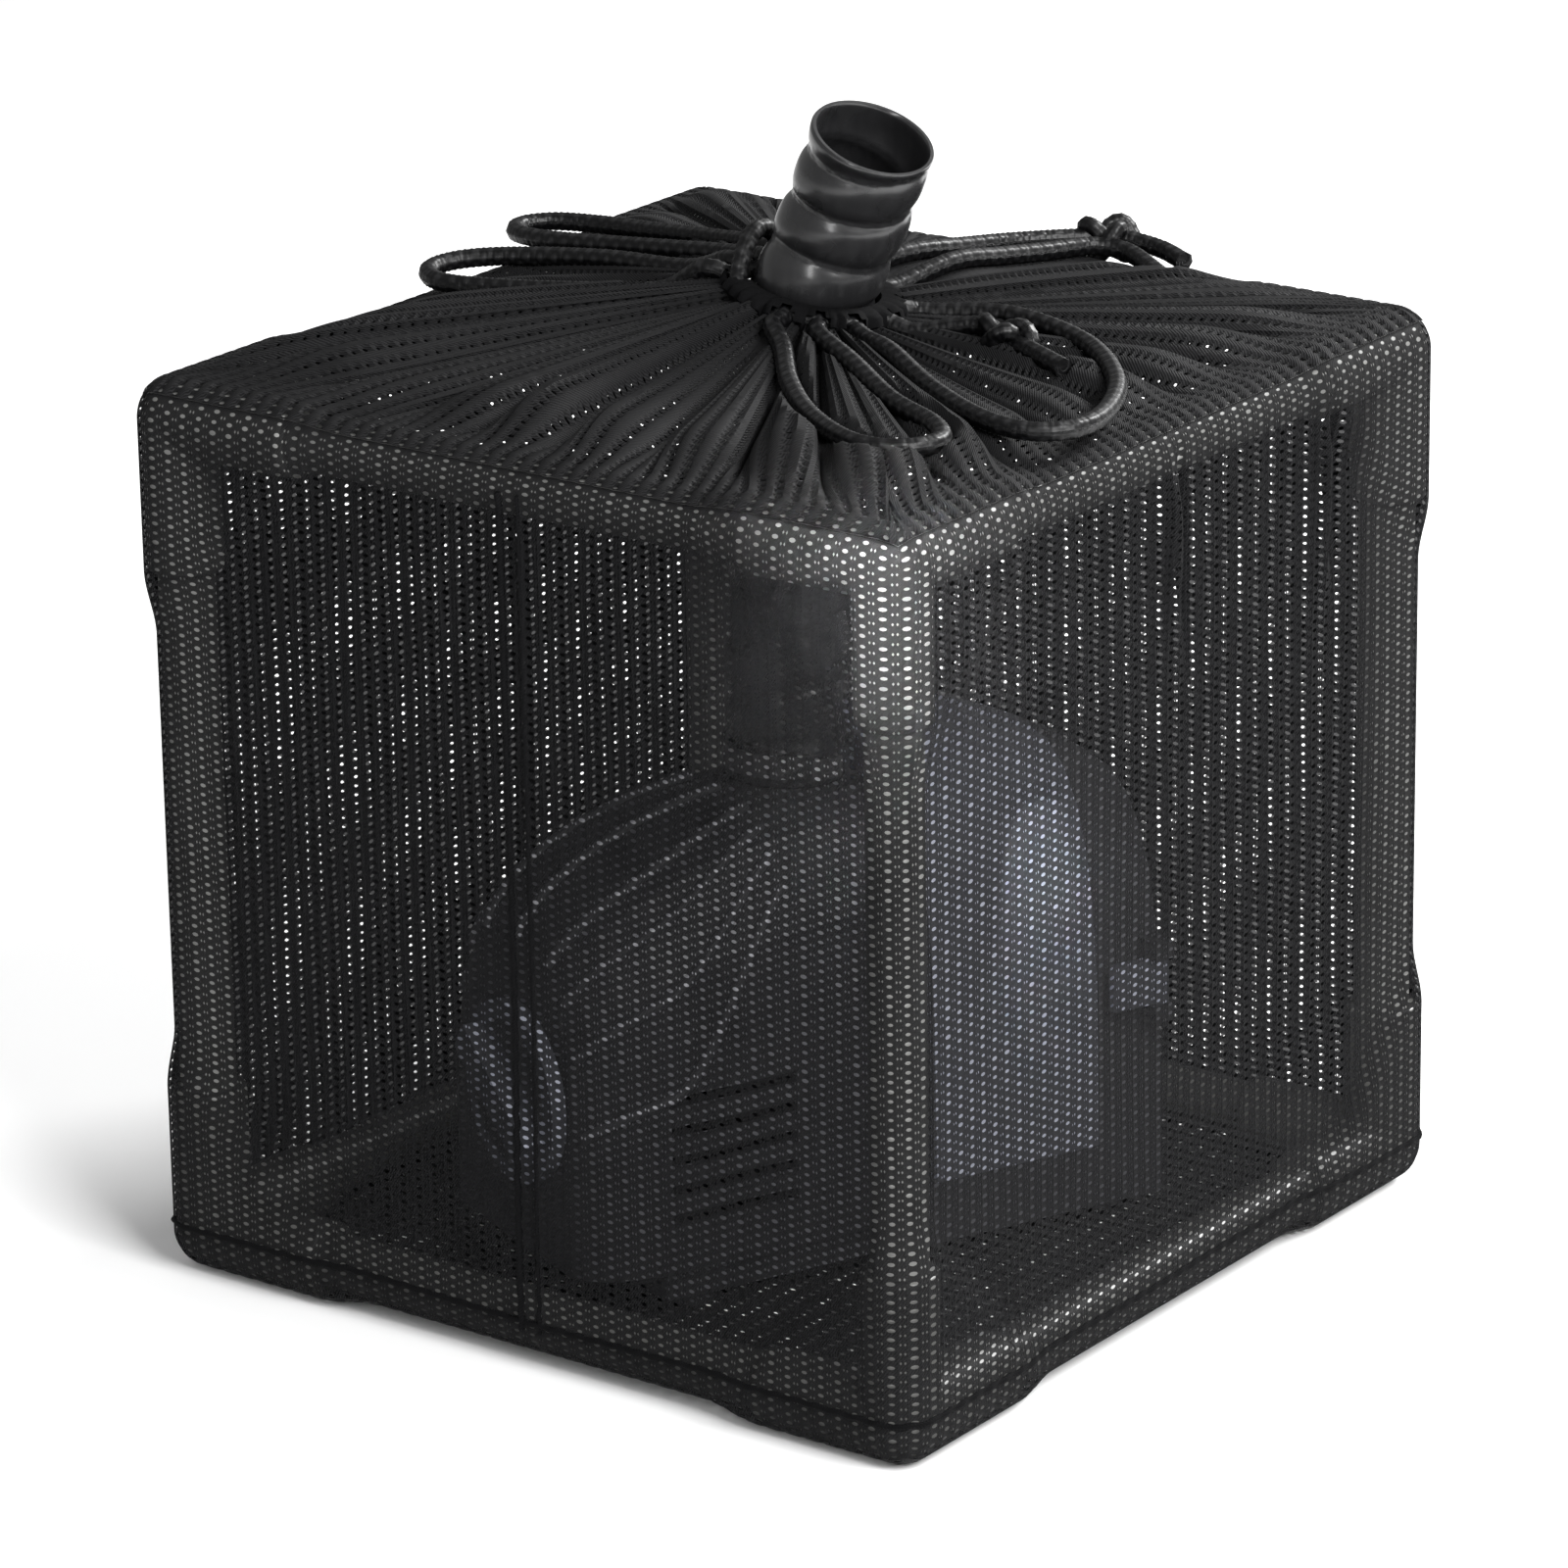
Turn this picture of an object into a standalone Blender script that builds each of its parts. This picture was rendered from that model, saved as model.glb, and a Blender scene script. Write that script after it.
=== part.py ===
"""Submersible pump in a knit mesh barrier bag over a push-fit pipe cage.

Twelve lengths of plastic pipe and eight three-way corner fittings make a cube.
A mesh bag is stretched over it, and its neck is drawn round the pump's hose by
cords that lie in loops on top. Units are metres, +Z is up, and the origin is
under the middle of the bag's base. The pump has its own frame, turned in the
cage, whose origin is on the axis of the outlet.
"""
import math

import bmesh
import bpy
from mathutils import Matrix, Vector

# Pipe cage
SPAN = 0.320                # pipe axis to pipe axis, all three ways
PIPE_OD = 0.0213
PIPE_WALL = 0.0028
FITTING_OD = 0.0286
FITTING_ARM = 0.058         # corner centre to the end of an arm
SOCKET_DEPTH = 0.026
FIT = 0.0003                # gap between pieces that touch
CAGE_SIDES = 12

# Bag
CLOTH = 0.0008
CLOTH_FIT = 0.0006          # gap between the cloth and what it is stretched over
CLOTH_SLACK = 0.025         # length in which the cloth runs down from a fitting to a pipe
BASE_RISE = 0.040           # width of the base's edge that is pulled up to the rails
WRAP = math.radians(44.4)   # how far a panel runs round an edge
PLEAT = 0.0028              # height of the folds half way to the neck
PLEAT_DEPTH = 0.0055        # depth of the hollows between them
NET_COUNT = 6               # openings across a wall, which stand for the knit's holes
NET_SHARE = 0.7             # an opening's share of the distance between two of them
TOP_SAG = 0.004             # dip of the gathered top half way to the neck
NECK_DROP = 0.004           # the gathered top meets the collar this far below its middle
COLLAR_WALL = 0.0034
COLLAR_HEIGHT = 0.008
CORD = 0.007
CINCH_HEIGHT = 0.0037       # height of the cord's turn round the neck on the collar

# Hose: its route starts on the pump's outlet and passes the bag's neck
HOSE_OD = 0.047
HOSE_WALL = 0.0045
HOSE_GROOVE = 0.0019        # depth of the groove between two ribs
HOSE_PITCH = 0.021
NECK = Vector((0.0066, 0.0047, 0.3640))
HOSE_ABOVE = [(0.0209, 0.0086, 0.4030), (0.0341, 0.0065, 0.4315)]
HOSE_BOW = 0.0015           # bow of the hose below the neck
CLIP_BAND = 0.0014
CLIP_WIDTH = 0.009
CLIP_ROOM = 0.0018          # clearance between the hose clip and the motor cover

# Pump
PUMP_AT = Vector((-0.0016, -0.0037, 0.0))
PUMP_TURN = math.radians(66)
FRONT = -0.121              # flat front face
COVER_GAP = 0.006           # between the intake shell's rear edge and the motor cover
COVER_END = 0.099
REAR = 0.127
HALF_WIDTH = 0.062
FRONT_HALF_WIDTH = 0.042
SHELL_TOP = 0.185
FRONT_TOP = 0.125
SHELL_FOOT = 0.020
COVER_TOP = 0.200
COVER_CREST = 0.050
COVER_FALL = 0.028          # fall of the cover's top from its crest to the rear
WALL = 0.003
ARCH_POWER = 3.2
ARCH_STEPS = 14
TRAY_FRONT = -0.088
TRAY_TOP = 0.032
FOOT_HEIGHT = 0.0066
FOOT_RADIUS = 0.009
SLOT_COUNT = 5
SLOT_HEIGHT = 0.005
SLOT_FROM, SLOT_TO = -0.086, -0.033
SLOT_LOW, SLOT_HIGH = 0.041, 0.087
AXIS_Z = 0.095              # height of the motor's axis
VOLUTE_RADIUS = 0.044
VOLUTE_WALL = 0.004
VOLUTE_FRONT = -0.026
CHAMBER_END = 0.010
EYE_HOLES = 4
EYE_HOLE_RADIUS = 0.0062
EYE_HOLE_CIRCLE = 0.0128
RISER_WALL = 0.0035
RISER_TOP = 0.178
TAIL_PLAY = 0.001           # between the hose tail's barbs and the hose's bore
TAIL_WALL = 0.0025
TAIL_LENGTH = 0.030
TAIL_FLANGE = 0.006
TAIL_FLANGE_WIDTH = 0.004
IMPELLER_RADIUS = 0.034
IMPELLER_DISC = 0.003
IMPELLER_DEPTH = 0.016
VANES = 6
VANE_THICKNESS = 0.003
ROTOR_RADIUS = 0.014
ROTOR_END = 0.082
ROTOR_BORE = 0.0155
SHAFT_RADIUS = 0.003
SHAFT_PLAY = 0.0003
BUSH_LENGTH = 0.0034
BUSH_RADIUS = 0.006
RING_RADIUS = 0.022
RING_SECTION = 0.0014
KNOB_RADIUS = 0.035
KNOB_DEPTH = 0.006
KNOB_SIDE, KNOB_Z = -0.010, 0.084
GRIP = (0.008, 0.058, 0.013)
GRIP_TURN = math.radians(35)
SPINDLE_RADIUS = 0.0055
SPINDLE_LENGTH = 0.016
LATCH_Z = 0.097
LATCH_HEIGHT = 0.0182
LATCH_LENGTH = 0.0215
LATCH_THICKNESS = 0.0035
LATCH_STAND = 0.0046        # pin axis outside the rear frame
LATCH_BARREL = 0.0036
PIN_RADIUS = 0.0015
PIN_X = 0.123
LUG = 0.0065
GLAND_RADIUS = 0.008
GLAND_LENGTH = 0.015
GLAND_BORE = 0.0035

# Worked out from the sizes above
HALF = SPAN / 2
RAIL_LOW = CLOTH + CLOTH_FIT + FITTING_OD / 2
CENTRE = Vector((0, 0, RAIL_LOW + HALF))
ON_FITTING = FITTING_OD / 2 + CLOTH_FIT
ON_PIPE = PIPE_OD / 2 + CLOTH_FIT
TRAY_FOOT = CLOTH + FIT + FOOT_HEIGHT
TAIL_FOOT = RISER_TOP + FIT
HOSE_FOOT = TAIL_FOOT + TAIL_FLANGE + FIT
NET_REACH = HALF - FITTING_ARM
COLLAR_BORE = HOSE_OD / 2 + CLOTH_FIT
COLLAR_RADIUS = COLLAR_BORE + COLLAR_WALL
CINCH_RADIUS = COLLAR_RADIUS + FIT + CORD / 2
HOSE_BORE = HOSE_OD - 2 * HOSE_WALL
COVER_FRONT = HOSE_OD / 2 + FIT + CLIP_BAND + CLIP_ROOM
SHELL_END = COVER_FRONT - COVER_GAP
TAIL_RADIUS = HOSE_BORE / 2 - TAIL_PLAY
TAIL_FLANGE_RADIUS = TAIL_RADIUS + TAIL_FLANGE_WIDTH
RISER_BORE = TAIL_RADIUS - TAIL_WALL
RISER_RADIUS = RISER_BORE + RISER_WALL
CORD_STEP = 2.2 * CORD      # length of the straight pieces that a cord is drawn with
MARGIN = 0.010              # how far a cutter passes the face it cuts
X, Y, Z = Vector((1, 0, 0)), Vector((0, 1, 0)), Vector((0, 0, 1))


def start_scene():
    """Empty the scene and make the collections for the parts and the cutters."""
    for old in list(bpy.data.objects):
        bpy.data.objects.remove(old)
    made = []
    for name in ("pump_cage", "cutters"):
        collection = bpy.data.collections.new(name)
        bpy.context.scene.collection.children.link(collection)
        made.append(collection)
    return made


PARTS, CUTTERS = start_scene()


def material(name, colour, roughness, metallic=0.0):
    """A plain finish."""
    finish = bpy.data.materials.new(name)
    finish.use_nodes = True
    shader = finish.node_tree.nodes["Principled BSDF"]
    shader.inputs["Base Color"].default_value = (*colour, 1.0)
    shader.inputs["Roughness"].default_value = roughness
    shader.inputs["Metallic"].default_value = metallic
    return finish


PIPE = material("pipe_plastic", (0.78, 0.79, 0.80), 0.35)
MESH = material("mesh_cloth", (0.014, 0.014, 0.016), 0.85)
BRAID = material("braided_cord", (0.010, 0.010, 0.011), 0.8)
HOSE = material("hose_plastic", (0.012, 0.012, 0.013), 0.4)
DARK = material("dark_plastic", (0.020, 0.021, 0.024), 0.5)
GREY = material("grey_plastic", (0.30, 0.33, 0.37), 0.5)
STEEL = material("stainless_steel", (0.55, 0.55, 0.56), 0.3, 1.0)
RUBBER = material("rubber", (0.015, 0.015, 0.015), 0.8)
CERAMIC = material("ceramic", (0.80, 0.79, 0.75), 0.25)
FERRITE = material("ferrite", (0.035, 0.033, 0.032), 0.6)
RESIN = material("potting_resin", (0.010, 0.011, 0.013), 0.45)


def place(name, mesh, finish, parent=None, matrix=None):
    """Add a part to the scene, shaded smooth up to its edges."""
    obj = bpy.data.objects.new(name, mesh)
    mesh.shade_smooth()
    mesh.set_sharp_from_angle(angle=math.radians(35))
    if not mesh.materials:
        mesh.materials.append(finish)
    PARTS.objects.link(obj)
    obj.parent = parent
    if matrix is not None:
        obj.matrix_basis = matrix
    return obj


def to_mesh(name, bm):
    """Turn a bmesh into a mesh and free it."""
    mesh = bpy.data.meshes.new(name)
    bm.to_mesh(mesh)
    bm.free()
    return mesh


def part(name, bm, finish, parent=None, matrix=None):
    """Add a part made as a bmesh."""
    return place(name, to_mesh(name, bm), finish, parent, matrix)


def cutter(name, bm, parent=None):
    """Add a hidden shape for a Boolean."""
    obj = bpy.data.objects.new(name, to_mesh(name, bm))
    CUTTERS.objects.link(obj)
    obj.parent = parent
    obj.hide_render = True
    obj.display_type = 'WIRE'
    return obj


def shape(obj, tool, operation='DIFFERENCE'):
    """Cut a part with a hidden shape, or join the shape to it."""
    modifier = obj.modifiers.new(tool.name, 'BOOLEAN')
    modifier.operation = operation
    modifier.object = tool


def add_copy(bm, other):
    """Move another bmesh's faces into a bmesh."""
    mesh = to_mesh("copy", other)
    bm.from_mesh(mesh)
    bpy.data.meshes.remove(mesh)


def box(low, high):
    """A box between two corners."""
    low, high = Vector(low), Vector(high)
    bm = bmesh.new()
    size = Matrix.Diagonal((*(high - low), 1.0))
    bmesh.ops.create_cube(bm, size=1.0, matrix=Matrix.Translation((low + high) / 2) @ size)
    return bm


def rod(radius, start, end, sides=16, bm=None):
    """A round rod between two points."""
    start, end = Vector(start), Vector(end)
    run = end - start
    turn = run.to_track_quat('Z', 'Y').to_matrix().to_4x4()
    bm = bm or bmesh.new()
    bmesh.ops.create_cone(bm, cap_ends=True, segments=sides, radius1=radius, radius2=radius,
                          depth=run.length, matrix=Matrix.Translation((start + end) / 2) @ turn)
    return bm


def turned(name, profile, finish, parent=None, at=(0, 0, 0), axis=Z, steps=16):
    """A ring turned about an axis, from a closed profile of (radius, height)."""
    mesh = bpy.data.meshes.new(name)
    count = len(profile)
    edges = [(i, (i + 1) % count) for i in range(count)]
    mesh.from_pydata([(r, 0, h) for r, h in profile], edges, [])
    turn = Vector(axis).to_track_quat('Z', 'Y').to_matrix().to_4x4()
    obj = place(name, mesh, finish, parent, Matrix.Translation(at) @ turn)
    screw = obj.modifiers.new("turn", 'SCREW')
    screw.steps = steps
    screw.render_steps = steps
    screw.use_merge_vertices = True
    screw.merge_threshold = 0.00001
    return obj


def tube(outer, inner, top, bottom):
    """The profile of a plain tube."""
    return [(outer, top), (outer, bottom), (inner, bottom), (inner, top)]


def loft(rings, wrap=False, caps=False):
    """A surface through rings of points, closed round each ring and at its ends if asked."""
    bm = bmesh.new()
    rows = [[bm.verts.new(point) for point in ring] for ring in rings]
    count = len(rows[0])
    for low, high in zip(rows, rows[1:]):
        for i in range(count if wrap else count - 1):
            j = (i + 1) % count
            bm.faces.new((low[i], low[j], high[j], high[i]))
    if caps:
        bm.faces.new(rows[0])
        bm.faces.new(rows[-1])
        bmesh.ops.recalc_face_normals(bm, faces=bm.faces)
    return bm


def spread(start, end, count):
    """Evenly spaced values, both ends included."""
    return [start + (end - start) * i / (count - 1) for i in range(count)]


def thicken(obj, thickness):
    """Give a surface its thickness on the outer side."""
    solid = obj.modifiers.new("cloth", 'SOLIDIFY')
    solid.thickness = thickness
    solid.offset = 1.0


def smooth_path(points, step):
    """Points about a step apart on a smooth curve through the given points."""
    points = [Vector(p) for p in points]
    ends = [2 * points[0] - points[1], *points, 2 * points[-1] - points[-2]]
    fine = []
    for a, b, c, d in zip(ends, ends[1:], ends[2:], ends[3:]):
        for i in range(24):
            t = i / 24
            fine.append(0.5 * (2 * b + (c - a) * t + (2 * a - 5 * b + 4 * c - d) * t ** 2
                               + (3 * b - a - 3 * c + d) * t ** 3))
    fine.append(points[-1])
    along = [0.0]
    for a, b in zip(fine, fine[1:]):
        along.append(along[-1] + (b - a).length)
    count = max(2, round(along[-1] / step))
    path, i = [], 0
    for k in range(count + 1):
        want = along[-1] * k / count
        while i < len(fine) - 2 and along[i + 1] < want:
            i += 1
        share = (want - along[i]) / (along[i + 1] - along[i])
        path.append(fine[i].lerp(fine[i + 1], min(1.0, share)))
    return path


def tube_mesh(name, path, radii, resolution):
    """A closed tube along a path, with a radius at each point."""
    curve = bpy.data.curves.new(name, 'CURVE')
    curve.dimensions = '3D'
    curve.bevel_depth = 1.0
    curve.bevel_resolution = resolution
    curve.use_fill_caps = True
    spline = curve.splines.new('POLY')
    spline.points.add(len(path) - 1)
    for point, at, radius in zip(spline.points, path, radii):
        point.co = (*at, 1.0)
        point.radius = radius
    obj = bpy.data.objects.new(name, curve)
    CUTTERS.objects.link(obj)
    bpy.context.view_layer.update()
    mesh = bpy.data.meshes.new_from_object(obj.evaluated_get(bpy.context.evaluated_depsgraph_get()))
    bpy.data.objects.remove(obj)
    bm = bmesh.new()
    bm.from_mesh(mesh)
    bpy.data.meshes.remove(mesh)
    bmesh.ops.remove_doubles(bm, verts=bm.verts, dist=0.00001)
    bmesh.ops.recalc_face_normals(bm, faces=bm.faces)
    return bm


# Pipe cage

def corner_mesh():
    """The mesh of a corner fitting whose arms run along +X, +Y and +Z."""
    bm = bmesh.new()
    bmesh.ops.create_uvsphere(bm, u_segments=CAGE_SIDES, v_segments=8, radius=FITTING_OD / 2)
    fitting = cutter("fitting", bm)
    tools = []
    for arm, along in (("x", X), ("y", Y), ("z", Z)):
        solid = rod(FITTING_OD / 2, (0, 0, 0), along * FITTING_ARM, CAGE_SIDES)
        tools.append(cutter(f"arm_{arm}", solid))
        shape(fitting, tools[-1], 'UNION')
    for arm, along in (("x", X), ("y", Y), ("z", Z)):
        socket = rod(PIPE_OD / 2 + FIT, along * (FITTING_ARM - SOCKET_DEPTH),
                     along * (FITTING_ARM + MARGIN), CAGE_SIDES)
        tools.append(cutter(f"socket_{arm}", socket))
        shape(fitting, tools[-1])
    bpy.context.view_layer.update()
    mesh = bpy.data.meshes.new_from_object(fitting.evaluated_get(bpy.context.evaluated_depsgraph_get()))
    for tool in (fitting, *tools):
        bpy.data.objects.remove(tool)
    return mesh


def build_cage():
    """The corner fittings and the pipes between them."""
    mesh = corner_mesh()
    length = SPAN - 2 * (FITTING_ARM - SOCKET_DEPTH) - 2 * FIT
    profile = tube(PIPE_OD / 2, PIPE_OD / 2 - PIPE_WALL, length / 2, -length / 2)
    depth_names = {-1: "front", 1: "back"}
    side_names = {-1: "left", 1: "right"}
    level_names = {-1: "bottom", 1: "top"}
    for sy, depth in depth_names.items():
        for sx, side in side_names.items():
            for sz, level in level_names.items():
                arms = [-sx * X, -sy * Y, -sz * Z]
                if sx * sy * sz > 0:
                    arms = [arms[1], arms[0], arms[2]]
                turn = Matrix(arms).transposed().to_4x4()
                at = CENTRE + HALF * Vector((sx, sy, sz))
                name = f"{level}_corner_{depth}_{side}"
                place(name, mesh, PIPE, None, Matrix.Translation(at) @ turn)
            post_at = CENTRE + HALF * Vector((sx, sy, 0))
            turned(f"post_{depth}_{side}", profile, PIPE, None, post_at, Z, CAGE_SIDES)
    for sz, level in level_names.items():
        for sy, depth in depth_names.items():
            at = CENTRE + HALF * Vector((0, sy, sz))
            turned(f"{level}_rail_{depth}", profile, PIPE, None, at, X, CAGE_SIDES)
        for sx, side in side_names.items():
            at = CENTRE + HALF * Vector((sx, 0, sz))
            turned(f"{level}_rail_{side}", profile, PIPE, None, at, Y, CAGE_SIDES)


# Bag

def ease(share):
    """A smooth step from 0 to 1."""
    share = min(1.0, max(0.0, share))
    return share * share * (3 - 2 * share)


def reach(a, b, flat=False):
    """How far the cloth stands off the cage's axes at a point of a face."""
    from_a, from_b = HALF - abs(a), HALF - abs(b)
    grip = ease((FITTING_ARM + CLOTH_SLACK - from_a - from_b) / CLOTH_SLACK)
    if flat:
        grip = max(grip, ease(min(from_a, from_b) / BASE_RISE))
    return ON_PIPE + (ON_FITTING - ON_PIPE) * grip


def stations(inner):
    """Places across a panel: how far along, and the turn round the edge there."""
    edge = [(HALF, 0.0), (HALF, WRAP / 2), (HALF, WRAP)]
    half = [(0.0, 0.0), *((at, 0.0) for at in inner), *edge]
    return [(-at, -turn) for at, turn in reversed(half[1:])] + half


def panel(name, out, along, up, places, flat=False):
    """A panel of cloth over one face of the cage."""
    rings = []
    for b, turn_b in places:
        ring = []
        for a, turn_a in places:
            way = (out + math.tan(turn_a) * along + math.tan(turn_b) * up).normalized()
            core = CENTRE + HALF * out + a * along + b * up
            ring.append(core + reach(a, b, flat) * way)
        rings.append(ring)
    cloth = part(name, loft(rings), MESH)
    thicken(cloth, CLOTH)
    return cloth


def net_openings(out, along):
    """A grid of openings through the flat middle of a wall."""
    pitch = 2 * NET_REACH / NET_COUNT
    middles = spread(-NET_REACH + pitch / 2, NET_REACH - pitch / 2, NET_COUNT)
    across = Vector([abs(c) for c in along])
    through = Vector([abs(c) for c in out])
    half = NET_SHARE * pitch / 2 * (across + Z) + MARGIN * through
    bm = bmesh.new()
    for a in middles:
        for b in middles:
            middle = CENTRE + (HALF + ON_PIPE) * out + a * along + b * Z
            add_copy(bm, box(middle - half, middle + half))
    return bm


SIDES = (("front", -Y, X), ("right", X, Y), ("back", Y, -X), ("left", -X, -Y))


def build_bag(neck_frame):
    """The walls, the base, the gathered top and the collar round the neck."""
    grip_end = HALF - FITTING_ARM
    wall_places = stations((grip_end - CLOTH_SLACK, grip_end))
    for side, out, along in SIDES:
        wall = panel(f"bag_wall_{side}", out, along, Z, wall_places)
        shape(wall, cutter(f"openings_{side}", net_openings(out, along)))
    base_places = stations(sorted((grip_end - CLOTH_SLACK, grip_end, HALF - BASE_RISE)))
    panel("bag_base", -Z, X, -Y, base_places, flat=True)

    columns = []
    free = grip_end - CLOTH_SLACK
    half_side = [free / 3, free * 2 / 3, free, grip_end, HALF - FITTING_ARM / 2, HALF]
    across = [-a for a in reversed(half_side)] + [0.0] + half_side
    for _, out, along in SIDES:
        columns += [(out, along, -HALF, -WRAP), (out, along, -HALF, -WRAP / 2)]
        columns += [(out, along, a, 0.0) for a in across]
        columns += [(out, along, HALF, WRAP / 2)]
    rings = []
    for tilt in (WRAP, WRAP / 2, WRAP / 20):
        ring = []
        for out, along, a, turn in columns:
            side_way = out + math.tan(turn) / math.tan(WRAP) * along
            way = (Z + math.tan(tilt) * side_way).normalized()
            ring.append(CENTRE + HALF * Z + HALF * out + a * along + reach(a, HALF) * way)
        rings.append(ring)
    rim = rings[-1]
    for share, fold in ((0.3, 0.7), (0.62, 1.0), (0.88, 0.8), (1.0, 0.5)):
        ring = []
        for i, edge in enumerate(rim):
            angle = math.atan2(edge.y, edge.x)
            ray = Vector((math.cos(angle), math.sin(angle), 0))
            end = neck_frame @ ((COLLAR_RADIUS + CLOTH_FIT) * ray - NECK_DROP * Z)
            height = PLEAT if i % 2 else -PLEAT_DEPTH
            lift = height * fold - 4 * TOP_SAG * share * (1 - share)
            ring.append(edge.lerp(end, share) + lift * Z)
        rings.append(ring)
    thicken(part("bag_top", loft(rings, wrap=True), MESH), CLOTH)

    collar = tube(COLLAR_RADIUS, COLLAR_BORE, COLLAR_HEIGHT, -NECK_DROP)
    obj = turned("neck_collar", collar, MESH, steps=24)
    obj.matrix_basis = neck_frame


# Drawcords: angles round the neck or a knot are in degrees from +X, seen from above

CORD_LOOPS = {
    "left_loop_near": (174, [
        (-0.058, 0.0150, 0.3670), (-0.098, 0.0175, 0.3640), (-0.136, 0.0135, 0.3605),
        (-0.157, 0.0030, 0.3585), (-0.161, -0.0120, 0.3575), (-0.148, -0.0225, 0.3570),
        (-0.122, -0.0190, 0.3575), (-0.085, -0.0130, 0.3605), (-0.052, -0.0095, 0.3650)], 198),
    "left_loop_far": (151, [
        (-0.058, 0.0330, 0.3690), (-0.100, 0.0345, 0.3650), (-0.140, 0.0340, 0.3620),
        (-0.163, 0.0400, 0.3605), (-0.166, 0.0540, 0.3600), (-0.150, 0.0650, 0.3600),
        (-0.118, 0.0640, 0.3620), (-0.078, 0.0580, 0.3660), (-0.046, 0.0500, 0.3695)], 128),
    "front_loop_small": (-74, [
        (0.032, -0.0480, 0.3645), (0.052, -0.0710, 0.3600), (0.079, -0.0950, 0.3580),
        (0.108, -0.1110, 0.3575), (0.127, -0.1080, 0.3575), (0.133, -0.0930, 0.3575),
        (0.120, -0.0790, 0.3580), (0.092, -0.0650, 0.3590), (0.060, -0.0440, 0.3625)], -51),
    "front_loop_large": (-27, [
        (0.064, -0.0260, 0.3630), (0.097, -0.0470, 0.3595), (0.131, -0.0640, 0.3580),
        (0.153, -0.0660, 0.3575), (0.164, -0.0530, 0.3575), (0.160, -0.0280, 0.3575),
        (0.141, 0.0050, 0.3580), (0.107, 0.0350, 0.3590), (0.070, 0.0420, 0.3620)], 43),
}
CORD_TAILS = {
    "front_tail": (8, [], "front_knot", 172),
    "back_tail_left": (107, [(0.001, 0.0750, 0.3685), (0.005, 0.1020, 0.3650), (0.012, 0.1260, 0.3625)],
                       "back_knot", -142),
    "back_tail_right": (80, [(0.020, 0.0750, 0.3675), (0.024, 0.1000, 0.3645), (0.029, 0.1220, 0.3620)],
                        "back_knot", -101),
}
KNOTS = {
    "front_knot": ((0.085, 0.0155, 0.3620), (0.0148, 0.0085, 0.0068), -0.25, [
        [(0.0900, 0.0145, 0.3615), (0.106, 0.0095, 0.3595), (0.119, 0.0040, 0.3585)]]),
    "back_knot": ((0.036, 0.1565, 0.3600), (0.0120, 0.0105, 0.0085), 0.5, [
        [(0.0400, 0.1600, 0.3600), (0.056, 0.1620, 0.3580), (0.071, 0.1560, 0.3565)],
        [(0.0400, 0.1530, 0.3590), (0.056, 0.1430, 0.3575), (0.071, 0.1350, 0.3565)]]),
}


def level_ray(degrees):
    """A level direction, as an angle from +X."""
    return Vector((math.cos(math.radians(degrees)), math.sin(math.radians(degrees)), 0))


def from_neck(neck_frame, degrees):
    """The first two points of a cord that comes straight out of the turn round the neck."""
    near = CINCH_RADIUS + CORD / 2 + 2 * FIT
    return [neck_frame @ (r * level_ray(degrees) + CINCH_HEIGHT * Z) for r in (near, near + 1.5 * CORD)]


def into_knot(name, degrees):
    """The last two points of a cord that runs straight into a knot."""
    at, (long, wide, _), turn, _ = KNOTS[name]
    ray = level_ray(degrees)
    local = math.radians(degrees) - turn
    near = 1 / math.hypot(math.cos(local) / long, math.sin(local) / wide) + FIT
    return [Vector(at) + r * ray for r in (near + CORD, near)]


def cord_routes(neck_frame):
    """The free stretches of the drawcords on top of the bag."""
    routes = {}
    for name, (start, points, end) in CORD_LOOPS.items():
        routes[name] = from_neck(neck_frame, start) + points + from_neck(neck_frame, end)[::-1]
    for name, (start, points, knot, side) in CORD_TAILS.items():
        routes[name] = from_neck(neck_frame, start) + points + into_knot(knot, side)
    return routes


def cord_mesh(name, points):
    """A plain length of cord through the given points."""
    path = smooth_path(points, CORD_STEP)
    return tube_mesh(name, path, [CORD / 2] * len(path), 2)


def build_cords(neck_frame):
    """The turn of cord round the neck, the loops, the tails and the knots."""
    sides = 24
    rings = []
    for k in range(sides):
        around = 2 * math.pi * k / sides
        ray = Vector((math.cos(around), math.sin(around), 0))
        rings.append([CINCH_RADIUS * ray + CORD / 2 * (math.cos(t) * ray + math.sin(t) * Z)
                      for t in (2 * math.pi * i / 8 for i in range(8))])
    bm = loft(rings + rings[:1], wrap=True)
    bmesh.ops.remove_doubles(bm, verts=bm.verts, dist=0.00001)
    bmesh.ops.recalc_face_normals(bm, faces=bm.faces)
    part("cinch_turn", bm, BRAID, None, neck_frame @ Matrix.Translation(CINCH_HEIGHT * Z))
    for name, points in cord_routes(neck_frame).items():
        part(name, cord_mesh(name, points), BRAID)
    for name, (at, size, turn, tails) in KNOTS.items():
        bm = bmesh.new()
        where = Matrix.Translation(at) @ Matrix.Rotation(turn, 4, 'Z') @ Matrix.Diagonal((*size, 1.0))
        bmesh.ops.create_uvsphere(bm, u_segments=12, v_segments=8, radius=1.0, matrix=where)
        knot = part(name, bm, BRAID)
        for i, points in enumerate(tails):
            tail = f"{name}_tail_{i}"
            shape(knot, cutter(tail, cord_mesh(tail, points)), 'UNION')


# Hose

def hose_points():
    """The points that the hose passes, from the pump's outlet to its open end."""
    foot = PUMP_AT + HOSE_FOOT * Z
    straight = [foot + share * TAIL_LENGTH * Z for share in (0, 1, 1.8)]
    below = [*straight, foot.lerp(NECK, 0.62) - HOSE_BOW * X]
    return [*below, NECK, *(Vector(p) for p in HOSE_ABOVE)]


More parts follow.
